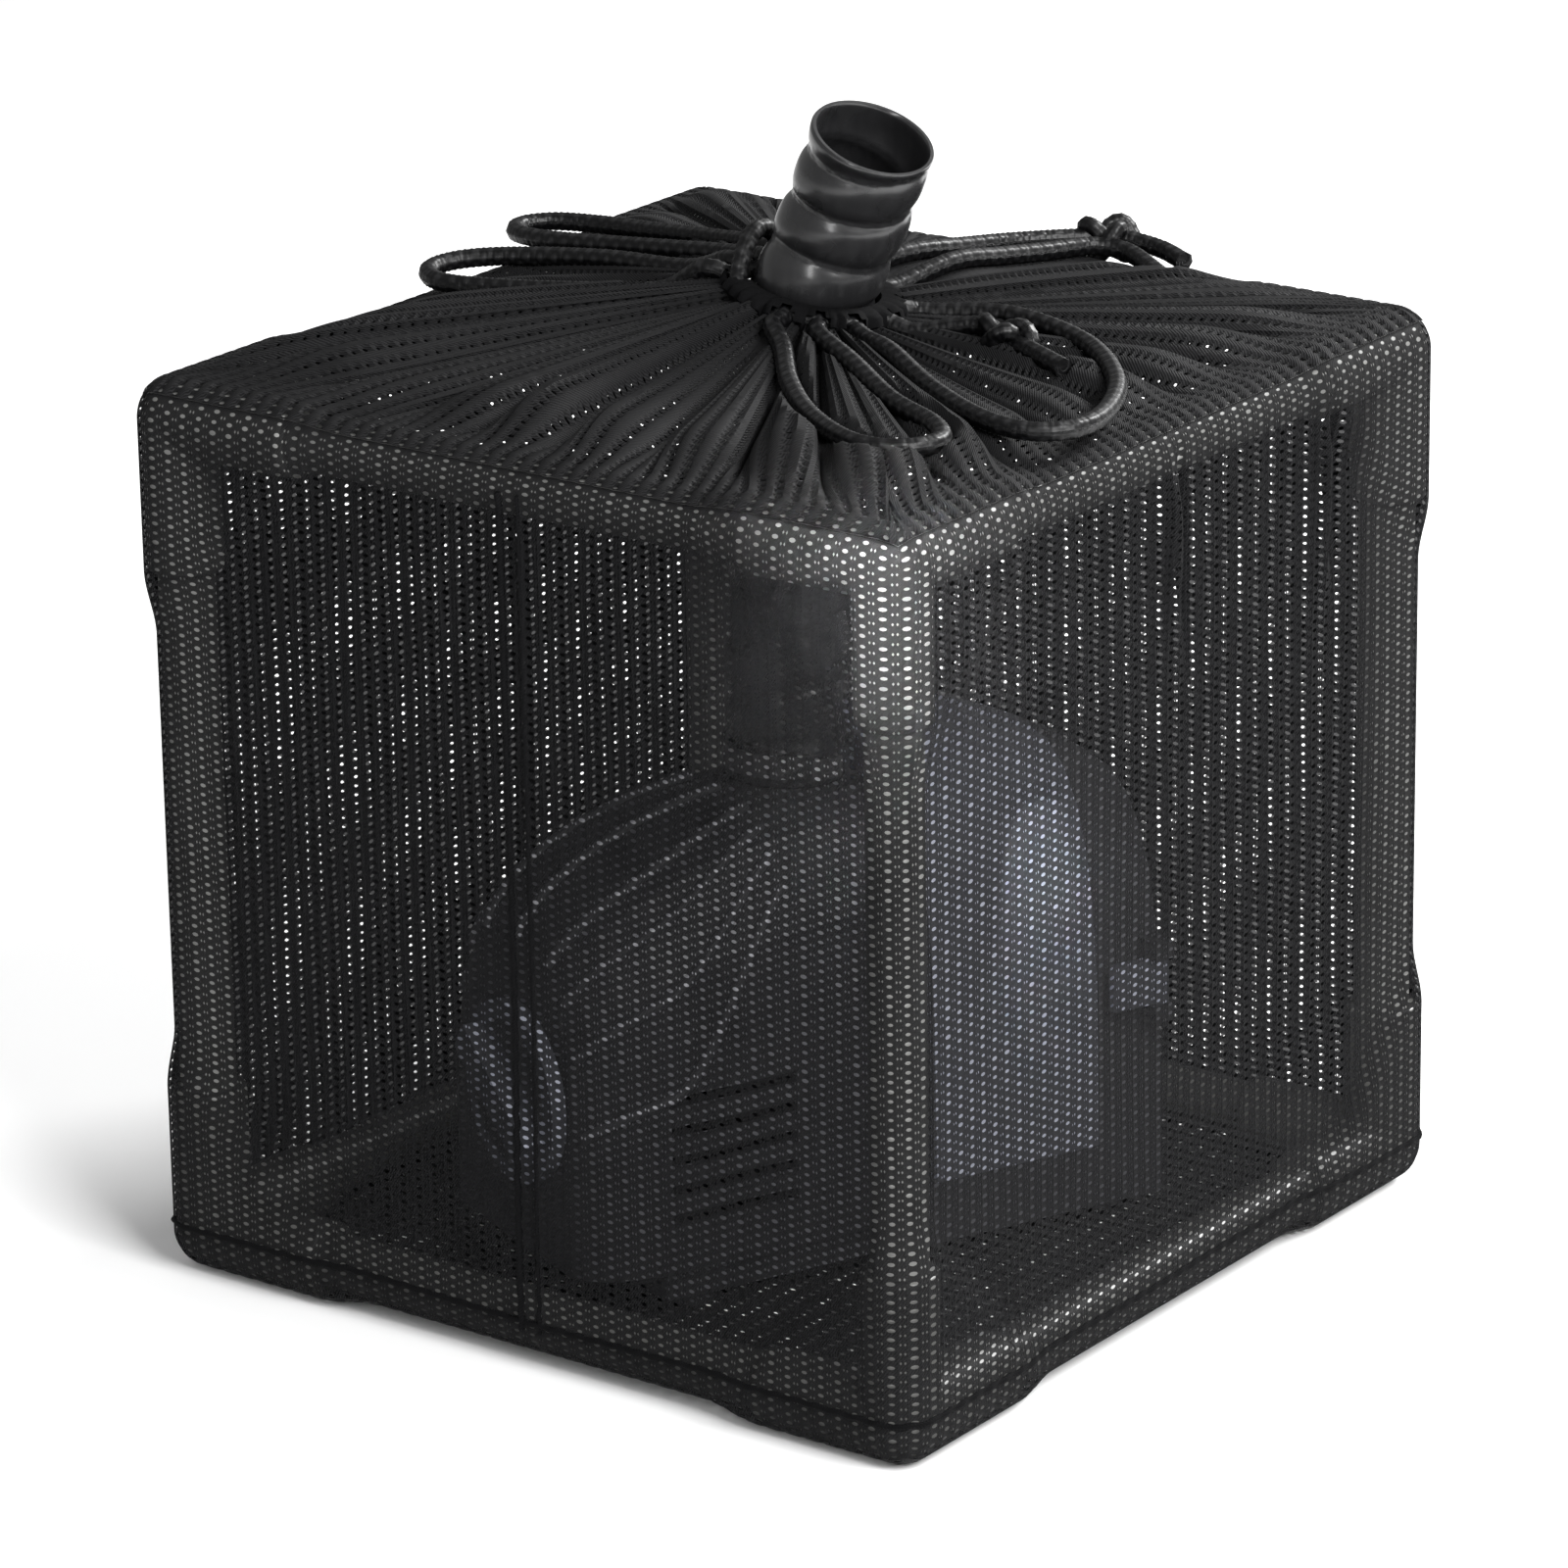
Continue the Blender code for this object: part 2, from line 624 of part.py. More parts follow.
def neck_matrix(path):
    """The frame of the bag's neck, square to the hose."""
    nearest = min(range(1, len(path) - 1), key=lambda i: (path[i] - NECK).length)
    run = path[nearest + 1] - path[nearest - 1]
    lean = Z.rotation_difference(run)
    return Matrix.Translation(NECK) @ lean.to_matrix().to_4x4()


def build_hose():
    """The ribbed hose with its bore."""
    path = smooth_path(hose_points(), HOSE_PITCH / 2)
    crest, groove = HOSE_OD / 2, HOSE_OD / 2 - HOSE_GROOVE
    radii = [groove if i % 2 and 2 < i < len(path) - 2 else crest for i in range(len(path))]
    hose = part("hose", tube_mesh("hose", path, radii, 4), HOSE)
    first, last = path[0] - path[1], path[-1] - path[-2]
    bore_path = [path[0] + first, *path, path[-1] + last]
    bore = tube_mesh("hose_bore", bore_path, [HOSE_BORE / 2] * len(bore_path), 4)
    shape(hose, cutter("hose_bore", bore))
    return neck_matrix(path)


# Pump

def shell_top(x):
    """The height of the intake shell's ridge."""
    return FRONT_TOP + (SHELL_TOP - FRONT_TOP) * math.sqrt(1 - min(0.0, x / FRONT * -1) ** 2)


def shell_half_width(x):
    """Half the width of the intake shell, drawn in at the front."""
    drawn = HALF_WIDTH - FRONT_HALF_WIDTH
    share = max(0.0, (FRONT + 2 * drawn - x) / (2 * drawn))
    return FRONT_HALF_WIDTH + drawn * math.sqrt(1 - min(1.0, share) ** 2)


def cover_top(x):
    """The height of the motor cover and the rear frame."""
    return COVER_TOP - COVER_FALL * ((x - COVER_CREST) / (REAR - COVER_CREST)) ** 2


def arch(xs, half_width, top, foot, inset=0.0, sink=0.0):
    """A solid with an arched section, lofted along the pump."""
    rings = []
    for x in xs:
        wide, high = half_width(x) - inset, top(x) - inset
        ring = []
        for i in range(ARCH_STEPS + 1):
            turn = math.pi * i / ARCH_STEPS
            across = math.copysign(abs(math.cos(turn)) ** (2 / ARCH_POWER), math.cos(turn))
            up = max(0.0, math.sin(turn)) ** (2 / ARCH_POWER)
            ring.append((x, wide * across, foot + (high - foot) * up))
        ring.append((x, -wide, foot - MARGIN - sink))
        ring.append((x, wide, foot - MARGIN - sink))
        rings.append(ring if sink else ring[:-2])
    return loft(rings, wrap=True, caps=True)


def full_width(x):
    """Half the width of the motor cover and the rear frame."""
    return HALF_WIDTH


def build_casing(pump):
    """The tray on its moulded feet, the intake shell, the motor cover and the rear frame."""
    wide_part = box((SHELL_END + FIT, -HALF_WIDTH, TRAY_FOOT), (REAR, HALF_WIDTH, TRAY_TOP))
    tray = part("base_tray", wide_part, DARK, pump)
    narrow = HALF_WIDTH - WALL - 5 * FIT
    front_part = box((TRAY_FRONT, -narrow, TRAY_FOOT), (SHELL_END + MARGIN, narrow, TRAY_TOP))
    shape(tray, cutter("tray_front", front_part, pump), 'UNION')
    hollow = box((TRAY_FRONT + WALL, -narrow + WALL, TRAY_FOOT + WALL),
                 (REAR - WALL, narrow - WALL, TRAY_TOP + MARGIN))
    shape(tray, cutter("tray_hollow", hollow, pump))
    for end, x in (("front", TRAY_FRONT + 2 * FOOT_RADIUS), ("rear", REAR - 2 * FOOT_RADIUS)):
        for side, y in (("near", -1), ("far", 1)):
            at = Vector((x, y * (narrow - 1.5 * FOOT_RADIUS), CLOTH + FIT))
            foot = rod(FOOT_RADIUS, at, at + (FOOT_HEIGHT + WALL / 2) * Z, 12)
            shape(tray, cutter(f"foot_{end}_{side}", foot, pump), 'UNION')

    xs = [FRONT + (SHELL_END - FRONT) * (1 - math.cos(math.pi / 2 * i / 9)) for i in range(10)]
    shell = part("intake_shell", arch(xs, shell_half_width, shell_top, SHELL_FOOT), DARK, pump)
    inner_xs = [FRONT + WALL, *xs[3:-1], SHELL_END + MARGIN]
    hollow = arch(inner_xs, shell_half_width, shell_top, SHELL_FOOT, WALL, MARGIN)
    shape(shell, cutter("shell_hollow", hollow, pump))
    bm = bmesh.new()
    for z in spread(SLOT_LOW, SLOT_HIGH, SLOT_COUNT):
        low = (SLOT_FROM, -2 * HALF_WIDTH, z - SLOT_HEIGHT / 2)
        high = (SLOT_TO, 2 * HALF_WIDTH, z + SLOT_HEIGHT / 2)
        add_copy(bm, box(low, high))
    shape(shell, cutter("shell_slots", bm, pump))
    notch = rod(HOSE_OD / 2 + 8 * FIT, (0, 0, SHELL_TOP - 5 * MARGIN), (0, 0, SHELL_TOP + MARGIN), 20)
    shape(shell, cutter("shell_notch", notch, pump))
    knob_at = Vector((FRONT, KNOB_SIDE, KNOB_Z))
    spindle_hole = rod(SPINDLE_RADIUS + FIT, knob_at - MARGIN * X, knob_at + MARGIN * X, 12)
    shape(shell, cutter("spindle_hole", spindle_hole, pump))

    foot = TRAY_TOP + FIT
    body = arch(spread(COVER_FRONT, COVER_END, 6), full_width, cover_top, foot)
    cover = part("motor_cover", body, GREY, pump)
    inner_xs = spread(COVER_FRONT + WALL, COVER_END + MARGIN, 6)
    hollow = arch(inner_xs, full_width, cover_top, foot, WALL, MARGIN)
    shape(cover, cutter("cover_hollow", hollow, pump))
    motor_axis = AXIS_Z * Z
    hole = rod(ROTOR_BORE, motor_axis + SHELL_END * X, motor_axis + (COVER_FRONT + MARGIN) * X)
    shape(cover, cutter("cover_hole", hole, pump))

    start = COVER_END + FIT
    rear = part("rear_frame", arch(spread(start, REAR, 3), full_width, cover_top, foot), DARK, pump)
    hollow = arch(spread(start - MARGIN, REAR - WALL, 3), full_width, cover_top, foot, WALL, MARGIN)
    shape(rear, cutter("rear_hollow", hollow, pump))
    gland_at = Vector((REAR + FIT, 0, AXIS_Z))
    turned("cable_gland", tube(GLAND_RADIUS, GLAND_BORE, GLAND_LENGTH, 0.0), DARK, pump, gland_at, X, 12)
    return rear


def build_latches(pump, rear):
    """The two latches, the lugs that hold them and their pins."""
    half = LATCH_HEIGHT / 2
    for name, side in (("latch_near", -1), ("latch_far", 1)):
        pin = Vector((PIN_X, side * (HALF_WIDTH + LATCH_STAND), LATCH_Z))
        reach_in = side * (LATCH_STAND + 2 * WALL)
        for end in (-1, 1):
            root = pin + end * (half + FIT) * Z
            corners = [root + Vector((-LATCH_STAND, side * LATCH_STAND, 0)),
                       root + Vector((REAR - PIN_X, -reach_in, end * LUG))]
            low = [min(c[i] for c in corners) for i in range(3)]
            high = [max(c[i] for c in corners) for i in range(3)]
            level = "low" if end < 0 else "high"
            shape(rear, cutter(f"{name}_lug_{level}", box(low, high), pump), 'UNION')
        ends = (half + FIT + LUG) * Z
        lug_bore = rod(PIN_RADIUS + FIT, pin - 2 * ends, pin + 2 * ends, 12)
        shape(rear, cutter(f"{name}_lug_bore", lug_bore, pump))
        part(f"{name}_pin", rod(PIN_RADIUS, pin - ends, pin + ends, 12), STEEL, pump)
        leaf = LATCH_THICKNESS / 2
        latch = part(name, box((-LATCH_LENGTH, -leaf, -half), (0, leaf, half)), GREY, pump,
                     Matrix.Translation(pin))
        holder = bpy.data.objects.new(f"{name}_axis", None)
        PARTS.objects.link(holder)
        holder.parent = pump
        holder.location = pin
        shape(latch, cutter(f"{name}_barrel", rod(LATCH_BARREL, -half * Z, half * Z, 12), holder), 'UNION')
        shape(latch, cutter(f"{name}_bore", rod(PIN_RADIUS + FIT, -2 * half * Z, 2 * half * Z, 12), holder))


def build_regulator(pump):
    """The flow regulator's knob on its spindle, on the front face."""
    holder = bpy.data.objects.new("regulator_axis", None)
    PARTS.objects.link(holder)
    holder.parent = pump
    holder.location = (FRONT - FIT, KNOB_SIDE, KNOB_Z)
    knob = part("regulator_knob", rod(KNOB_RADIUS, (0, 0, 0), -KNOB_DEPTH * X, 28), GREY, holder)
    depth, length, width = GRIP
    grip = box((-KNOB_DEPTH - depth, -length / 2, -width / 2), (-KNOB_DEPTH / 2, length / 2, width / 2))
    turn = Matrix.Rotation(GRIP_TURN, 3, 'X')
    bmesh.ops.rotate(grip, verts=grip.verts, cent=(0, 0, 0), matrix=turn)
    shape(knob, cutter("knob_grip", grip, holder), 'UNION')
    spindle = rod(SPINDLE_RADIUS, -KNOB_DEPTH / 2 * X, SPINDLE_LENGTH * X, 12)
    shape(knob, cutter("knob_spindle", spindle, holder), 'UNION')


def build_works(pump):
    """The pump chamber, the outlet, the rotor and the motor."""
    axis = AXIS_Z * Z
    back = COVER_FRONT - FIT
    volute = part("volute", rod(VOLUTE_RADIUS, axis + VOLUTE_FRONT * X, axis + back * X, 28), DARK, pump)
    shape(volute, cutter("riser", rod(RISER_RADIUS, axis, RISER_TOP * Z, 20), pump), 'UNION')
    chamber = VOLUTE_RADIUS - VOLUTE_WALL
    shape(volute, cutter("chamber", rod(chamber, axis + (VOLUTE_FRONT - MARGIN) * X,
                                        axis + CHAMBER_END * X, 28), pump))
    shape(volute, cutter("riser_bore", rod(RISER_BORE, axis + chamber / 2 * Z,
                                           (RISER_TOP + MARGIN) * Z, 20), pump))
    shape(volute, cutter("volute_back_bore", rod(ROTOR_BORE, axis, axis + (back + MARGIN) * X, 20), pump))
    groove_depth = 2 * RING_SECTION + FIT
    ring_room = RING_SECTION + FIT
    inner_end, outer_end = axis + (back - groove_depth) * X, axis + (back + MARGIN) * X
    groove = rod(RING_RADIUS + ring_room, inner_end, outer_end, 20)
    core = rod(RING_RADIUS - ring_room, inner_end - MARGIN * X, outer_end + MARGIN * X, 20)
    ring_groove = cutter("ring_groove", groove, pump)
    shape(ring_groove, cutter("ring_groove_core", core, pump))
    shape(volute, ring_groove)
    ring = [(RING_RADIUS + RING_SECTION * math.cos(t), RING_SECTION * math.sin(t))
            for t in (-2 * math.pi * i / 6 for i in range(6))]
    turned("o_ring", ring, RUBBER, pump, axis + (back - RING_SECTION - FIT / 2) * X, X, 20)

    plate = VOLUTE_FRONT - FIT
    disc = rod(VOLUTE_RADIUS, axis + (plate - WALL) * X, axis + plate * X, 28)
    lid = part("volute_cover", disc, DARK, pump)
    holes = bmesh.new()
    for i in range(EYE_HOLES):
        turn = math.tau * (i + 0.5) / EYE_HOLES
        ray = Vector((0, math.cos(turn), math.sin(turn)))
        at = axis + EYE_HOLE_CIRCLE * ray + plate * X
        rod(EYE_HOLE_RADIUS, at - MARGIN * X, at + MARGIN * X, 12, holes)
    shape(lid, cutter("eye_holes", holes, pump))

    start = VOLUTE_FRONT + FIT
    bore = SHAFT_RADIUS + SHAFT_PLAY
    shaft_end = ROTOR_END + FIT + BUSH_LENGTH
    part("shaft", rod(SHAFT_RADIUS, axis + start * X, axis + shaft_end * X, 12), CERAMIC, pump)
    turned("front_bush", tube(BUSH_RADIUS, bore, BUSH_LENGTH, 0.0), RUBBER, pump, axis + start * X, X, 12)
    turned("rear_bush", tube(ROTOR_BORE - FIT, bore, BUSH_LENGTH, 0.0), RUBBER, pump,
           axis + (ROTOR_END + FIT) * X, X, 20)

    impeller_front = start + BUSH_LENGTH + FIT
    disc_end = impeller_front + IMPELLER_DEPTH
    disc = rod(IMPELLER_RADIUS, (disc_end - IMPELLER_DISC) * X, disc_end * X, 24)
    impeller = part("impeller", disc, GREY, pump, Matrix.Translation(axis))
    holder = bpy.data.objects.new("rotor_axis", None)
    PARTS.objects.link(holder)
    holder.parent = pump
    holder.location = axis
    hub = rod(2 * bore, impeller_front * X, (disc_end - IMPELLER_DISC / 2) * X, 12)
    shape(impeller, cutter("impeller_hub", hub, holder), 'UNION')
    for i in range(VANES):
        vane = box((impeller_front + FIT, 1.5 * bore, -VANE_THICKNESS / 2),
                   (disc_end - IMPELLER_DISC / 3, IMPELLER_RADIUS - VANE_THICKNESS, VANE_THICKNESS / 2))
        turn = Matrix.Rotation(math.tau * i / VANES, 3, 'X')
        bmesh.ops.rotate(vane, verts=vane.verts, cent=(0, 0, 0), matrix=turn)
        shape(impeller, cutter(f"vane_{i}", vane, holder), 'UNION')
    hub_bore = rod(bore, (impeller_front - MARGIN) * X, (disc_end + MARGIN) * X, 12)
    shape(impeller, cutter("impeller_bore", hub_bore, holder))
    magnet_from = disc_end + FIT
    turned("rotor_magnet", tube(ROTOR_RADIUS, bore, ROTOR_END - magnet_from, 0.0), FERRITE, pump,
           axis + magnet_from * X, X, 20)

    motor_from, motor_to = COVER_FRONT + WALL + FIT, COVER_END - FIT
    half, low, high = HALF_WIDTH - 4 * WALL, TRAY_TOP + FIT, AXIS_Z + HALF_WIDTH - 4 * WALL
    motor = part("motor_block", box((motor_from, -half, low), (motor_to, half, high)), RESIN, pump)
    well_end = ROTOR_END + BUSH_LENGTH + 2 * FIT
    well = rod(ROTOR_BORE, axis + (motor_from - MARGIN) * X, axis + well_end * X, 20)
    shape(motor, cutter("rotor_well", well, pump))

    top = TAIL_FOOT + TAIL_FLANGE + TAIL_LENGTH
    slim = TAIL_RADIUS - 2 * FIT
    barb = TAIL_LENGTH / 3
    profile = [(slim, top)]
    for i in range(2):
        profile += [(TAIL_RADIUS, top - (i + 0.8) * barb), (slim, top - (i + 0.85) * barb)]
    profile += [(slim, TAIL_FOOT + TAIL_FLANGE), (TAIL_FLANGE_RADIUS, TAIL_FOOT + TAIL_FLANGE),
                (TAIL_FLANGE_RADIUS, TAIL_FOOT), (RISER_BORE, TAIL_FOOT), (RISER_BORE, top)]
    turned("hose_tail", profile, DARK, pump, steps=20)

    inner = HOSE_OD / 2 + FIT
    low = HOSE_FOOT + CLIP_WIDTH / 2
    clip = turned("hose_clip", tube(inner + CLIP_BAND, inner, low + CLIP_WIDTH, low), STEEL, pump, steps=24)
    housing = box((-CLIP_WIDTH * 0.7, -inner - CLIP_WIDTH * 0.7, low + FIT),
                  (CLIP_WIDTH * 0.7, -inner - CLIP_BAND / 2, low + CLIP_WIDTH - FIT))
    shape(clip, cutter("clip_housing", housing, pump), 'UNION')


def build_pump():
    """The pump, in its own frame inside the cage."""
    pump = bpy.data.objects.new("pump_frame", None)
    PARTS.objects.link(pump)
    pump.location = PUMP_AT
    pump.rotation_euler = (0, 0, PUMP_TURN)
    rear = build_casing(pump)
    build_latches(pump, rear)
    build_regulator(pump)
    build_works(pump)


build_cage()
neck = build_hose()
build_bag(neck)
build_cords(neck)
build_pump()
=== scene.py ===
"""Submersible pump in a knit mesh bag over a pipe cage, dressed as in its photograph.

The frame holds the solids. Each class below dresses one sub-assembly: it adds
finer pieces in mesh code over the solids, or gives the solids their finish.
"""

import logging
import math
from dataclasses import dataclass, replace
from enum import Enum
from typing import Callable, Sequence

import bpy
import numpy as np
from mathutils import Matrix, Vector


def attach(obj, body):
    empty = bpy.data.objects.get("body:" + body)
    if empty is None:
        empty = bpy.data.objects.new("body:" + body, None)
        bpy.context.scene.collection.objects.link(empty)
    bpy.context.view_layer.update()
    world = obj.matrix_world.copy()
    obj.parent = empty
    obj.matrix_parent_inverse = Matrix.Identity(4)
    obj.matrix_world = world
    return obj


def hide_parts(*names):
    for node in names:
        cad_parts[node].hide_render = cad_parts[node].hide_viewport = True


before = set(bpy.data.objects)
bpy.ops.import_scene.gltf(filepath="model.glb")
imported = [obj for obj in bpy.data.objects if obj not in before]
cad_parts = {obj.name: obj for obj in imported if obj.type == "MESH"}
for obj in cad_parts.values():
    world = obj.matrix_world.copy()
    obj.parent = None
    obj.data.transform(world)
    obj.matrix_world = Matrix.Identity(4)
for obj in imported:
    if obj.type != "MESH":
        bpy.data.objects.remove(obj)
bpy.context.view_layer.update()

LOG = logging.getLogger("scene")
MM = 0.001
SEED = 11
Z = Vector((0, 0, 1))


class Pattern(Enum):
    """How a surface was made, which decides what its fine relief looks like."""

    MOULDED = "moulded"
    EXTRUDED = "extruded"
    KNITTED = "knitted"
    BRAIDED = "braided"
    DRAWN = "drawn"
    SINTERED = "sintered"


class Body(Enum):
    """The bodies that added pieces move with."""

    CAGE = "cage"
    REGULATOR = "regulator"


@dataclass(frozen=True)
class Finish:
    """A real material and the way its surface was made."""

    name: str
    slot: str
    colour: str
    shade: str
    roughness: float
    rough_spread: float
    grain_mm: float
    depth_mm: float
    pattern: Pattern
    metallic: float = 0.0
    coat: float = 0.0
    specular: float = 0.5
    cover: float = 1.0


# Dull black yarn; the faint grey bloom on its ridges is painted sheen, where the yarn would catch the light, and the
# near-black in its hollows is painted shade
KNIT = Finish("polyester_yarn_warp_knitted", "mesh_cloth", "#1b1b1c", "#070708", 0.72, 0.15, 0.45, 0.22,
              Pattern.KNITTED, specular=0.14)
# The same yarn on the two walls that the eye looks through: a little light passes between its filaments
SHEER = replace(KNIT, name="polyester_yarn_warp_knitted_sheer", specular=0.06, cover=0.95)
# The same yarn, doubled and overlocked, so it looks denser and a little darker
SEAM = Finish("polyester_yarn_overlocked", "mesh_cloth", "#101011", "#060607", 0.8, 0.12, 0.5, 0.14,
              Pattern.KNITTED, specular=0.06)
# Black braid: a fine chevron of strands. The soft highlights along each are partly its gloss and partly painted
# highlight, and the near-black between strands is painted shade
BRAID = Finish("nylon_cord_braided", "braided_cord", "#1a1a1b", "#030304", 0.45, 0.15, 2.4, 0.30,
               Pattern.BRAIDED, specular=0.3)
# Satin black hose with long soft highlights on its bulges
HOSE = Finish("polyethylene_hose_wound", "hose_plastic", "#232324", "#19191a", 0.26, 0.10, 3.0, 0.03,
              Pattern.EXTRUDED, coat=0.5)
# White vinyl water pipe: clean, a little glossy, with faint drawing lines. Its mid-grey is painted shade, standing in
# for the shade of the knit cloth over it
PIPE = Finish("rigid_vinyl_pipe_extruded", "pipe_plastic", "#7c7c7a", "#70706e", 0.32, 0.08, 4.0, 0.02,
              Pattern.EXTRUDED)
# Fittings of the same white vinyl, with the slight mottle of moulding; their mid-grey is painted shade, as on the
# pipe
FITTING = Finish("rigid_vinyl_fitting_moulded", "fitting_plastic", "#80807e", "#747472", 0.38, 0.08, 1.2, 0.03,
                 Pattern.MOULDED)
# The same vinyl at the foot, darker still: deeper painted shade at the foot of the cage
PIPE_PAINTED_FOOT_SHADE = replace(PIPE, name="rigid_vinyl_pipe_extruded_painted_foot_shade", colour="#585856", shade="#4c4c4a")
FITTING_PAINTED_FOOT_SHADE = replace(FITTING, name="rigid_vinyl_fitting_moulded_painted_foot_shade", colour="#5a5a58", shade="#4e4e4c")
# Charcoal pump plastic with a fine spark-eroded grain
DARK = Finish("filled_nylon_moulded", "dark_plastic", "#434346", "#333336", 0.5, 0.12, 0.8, 0.05,
              Pattern.MOULDED)
# The same plastic on the raised ribs, painted paler: a painted highlight on the rib crests, where they catch the
# light
RIB_PAINTED_HIGHLIGHT = Finish("filled_nylon_moulded_painted_rib_highlight", "dark_plastic", "#747478", "#606064", 0.42, 0.12, 0.8, 0.05,
              Pattern.MOULDED)
# The motor cover's blue-grey plastic with the same grain
GREY = Finish("acrylonitrile_plastic_moulded", "grey_plastic", "#8c8e98", "#80828c", 0.66, 0.10, 0.8, 0.05,
              Pattern.MOULDED, specular=0.2)
# Bright drawn strip and wire with fine lines along it
STEEL = Finish("stainless_strip_drawn", "stainless_steel", "#b9b9ba", "#9c9c9e", 0.28, 0.12, 0.6, 0.01,
               Pattern.DRAWN, metallic=1.0)
# Matt black rubber with a dry bloom
RUBBER = Finish("nitrile_rubber_moulded", "seal_rubber", "#222222", "#161616", 0.8, 0.08, 0.7, 0.03,
                Pattern.MOULDED)
# Ivory ceramic, ground smooth
CERAMIC = Finish("alumina_ceramic_ground", "shaft_ceramic", "#e9e6dc", "#dcd8cc", 0.22, 0.06, 0.4, 0.01,
                 Pattern.SINTERED)
# Dark brown-grey magnet with a pressed, open texture
FERRITE = Finish("ferrite_powder_sintered", "ferrite_magnet", "#3a3734", "#262422", 0.65, 0.10, 0.5, 0.05,
                 Pattern.SINTERED)
# Black resin, poured, with a slow ripple and a soft gloss
RESIN = Finish("epoxy_resin_poured", "potting_resin", "#1b1c1f", "#121315", 0.3, 0.08, 6.0, 0.10,
               Pattern.MOULDED)


def to_linear(colour: str) -> tuple[float, float, float, float]:
    """Turn a display colour into linear light.

    Args:
        colour: an sRGB hex colour, as "#rrggbb".

    Returns:
        Linear red, green, blue and an alpha of 1.
    """
    out = []
    for i in (1, 3, 5):
        c = int(colour[i:i + 2], 16) / 255
        out.append(c / 12.92 if c <= 0.04045 else ((c + 0.055) / 1.055) ** 2.4)
    return (out[0], out[1], out[2], 1.0)


def add_node(tree: bpy.types.NodeTree, kind: str, links: dict | None = None, **values) -> bpy.types.Node:
    """Add a shader node with its settings and its links.

    Args:
        tree: the node tree.
        kind: the node's type, without the "ShaderNode" in front.
        links: for each input, the output socket that feeds it, or a constant.
        values: settings of the node itself.

    Returns:
        The new node.
    """
    node = tree.nodes.new("ShaderNode" + kind)
    for key, value in values.items():
        setattr(node, key, value)
    for key, value in (links or {}).items():
        if isinstance(value, bpy.types.NodeSocket):
            tree.links.new(value, node.inputs[key])
        else:
            node.inputs[key].default_value = value
    return node


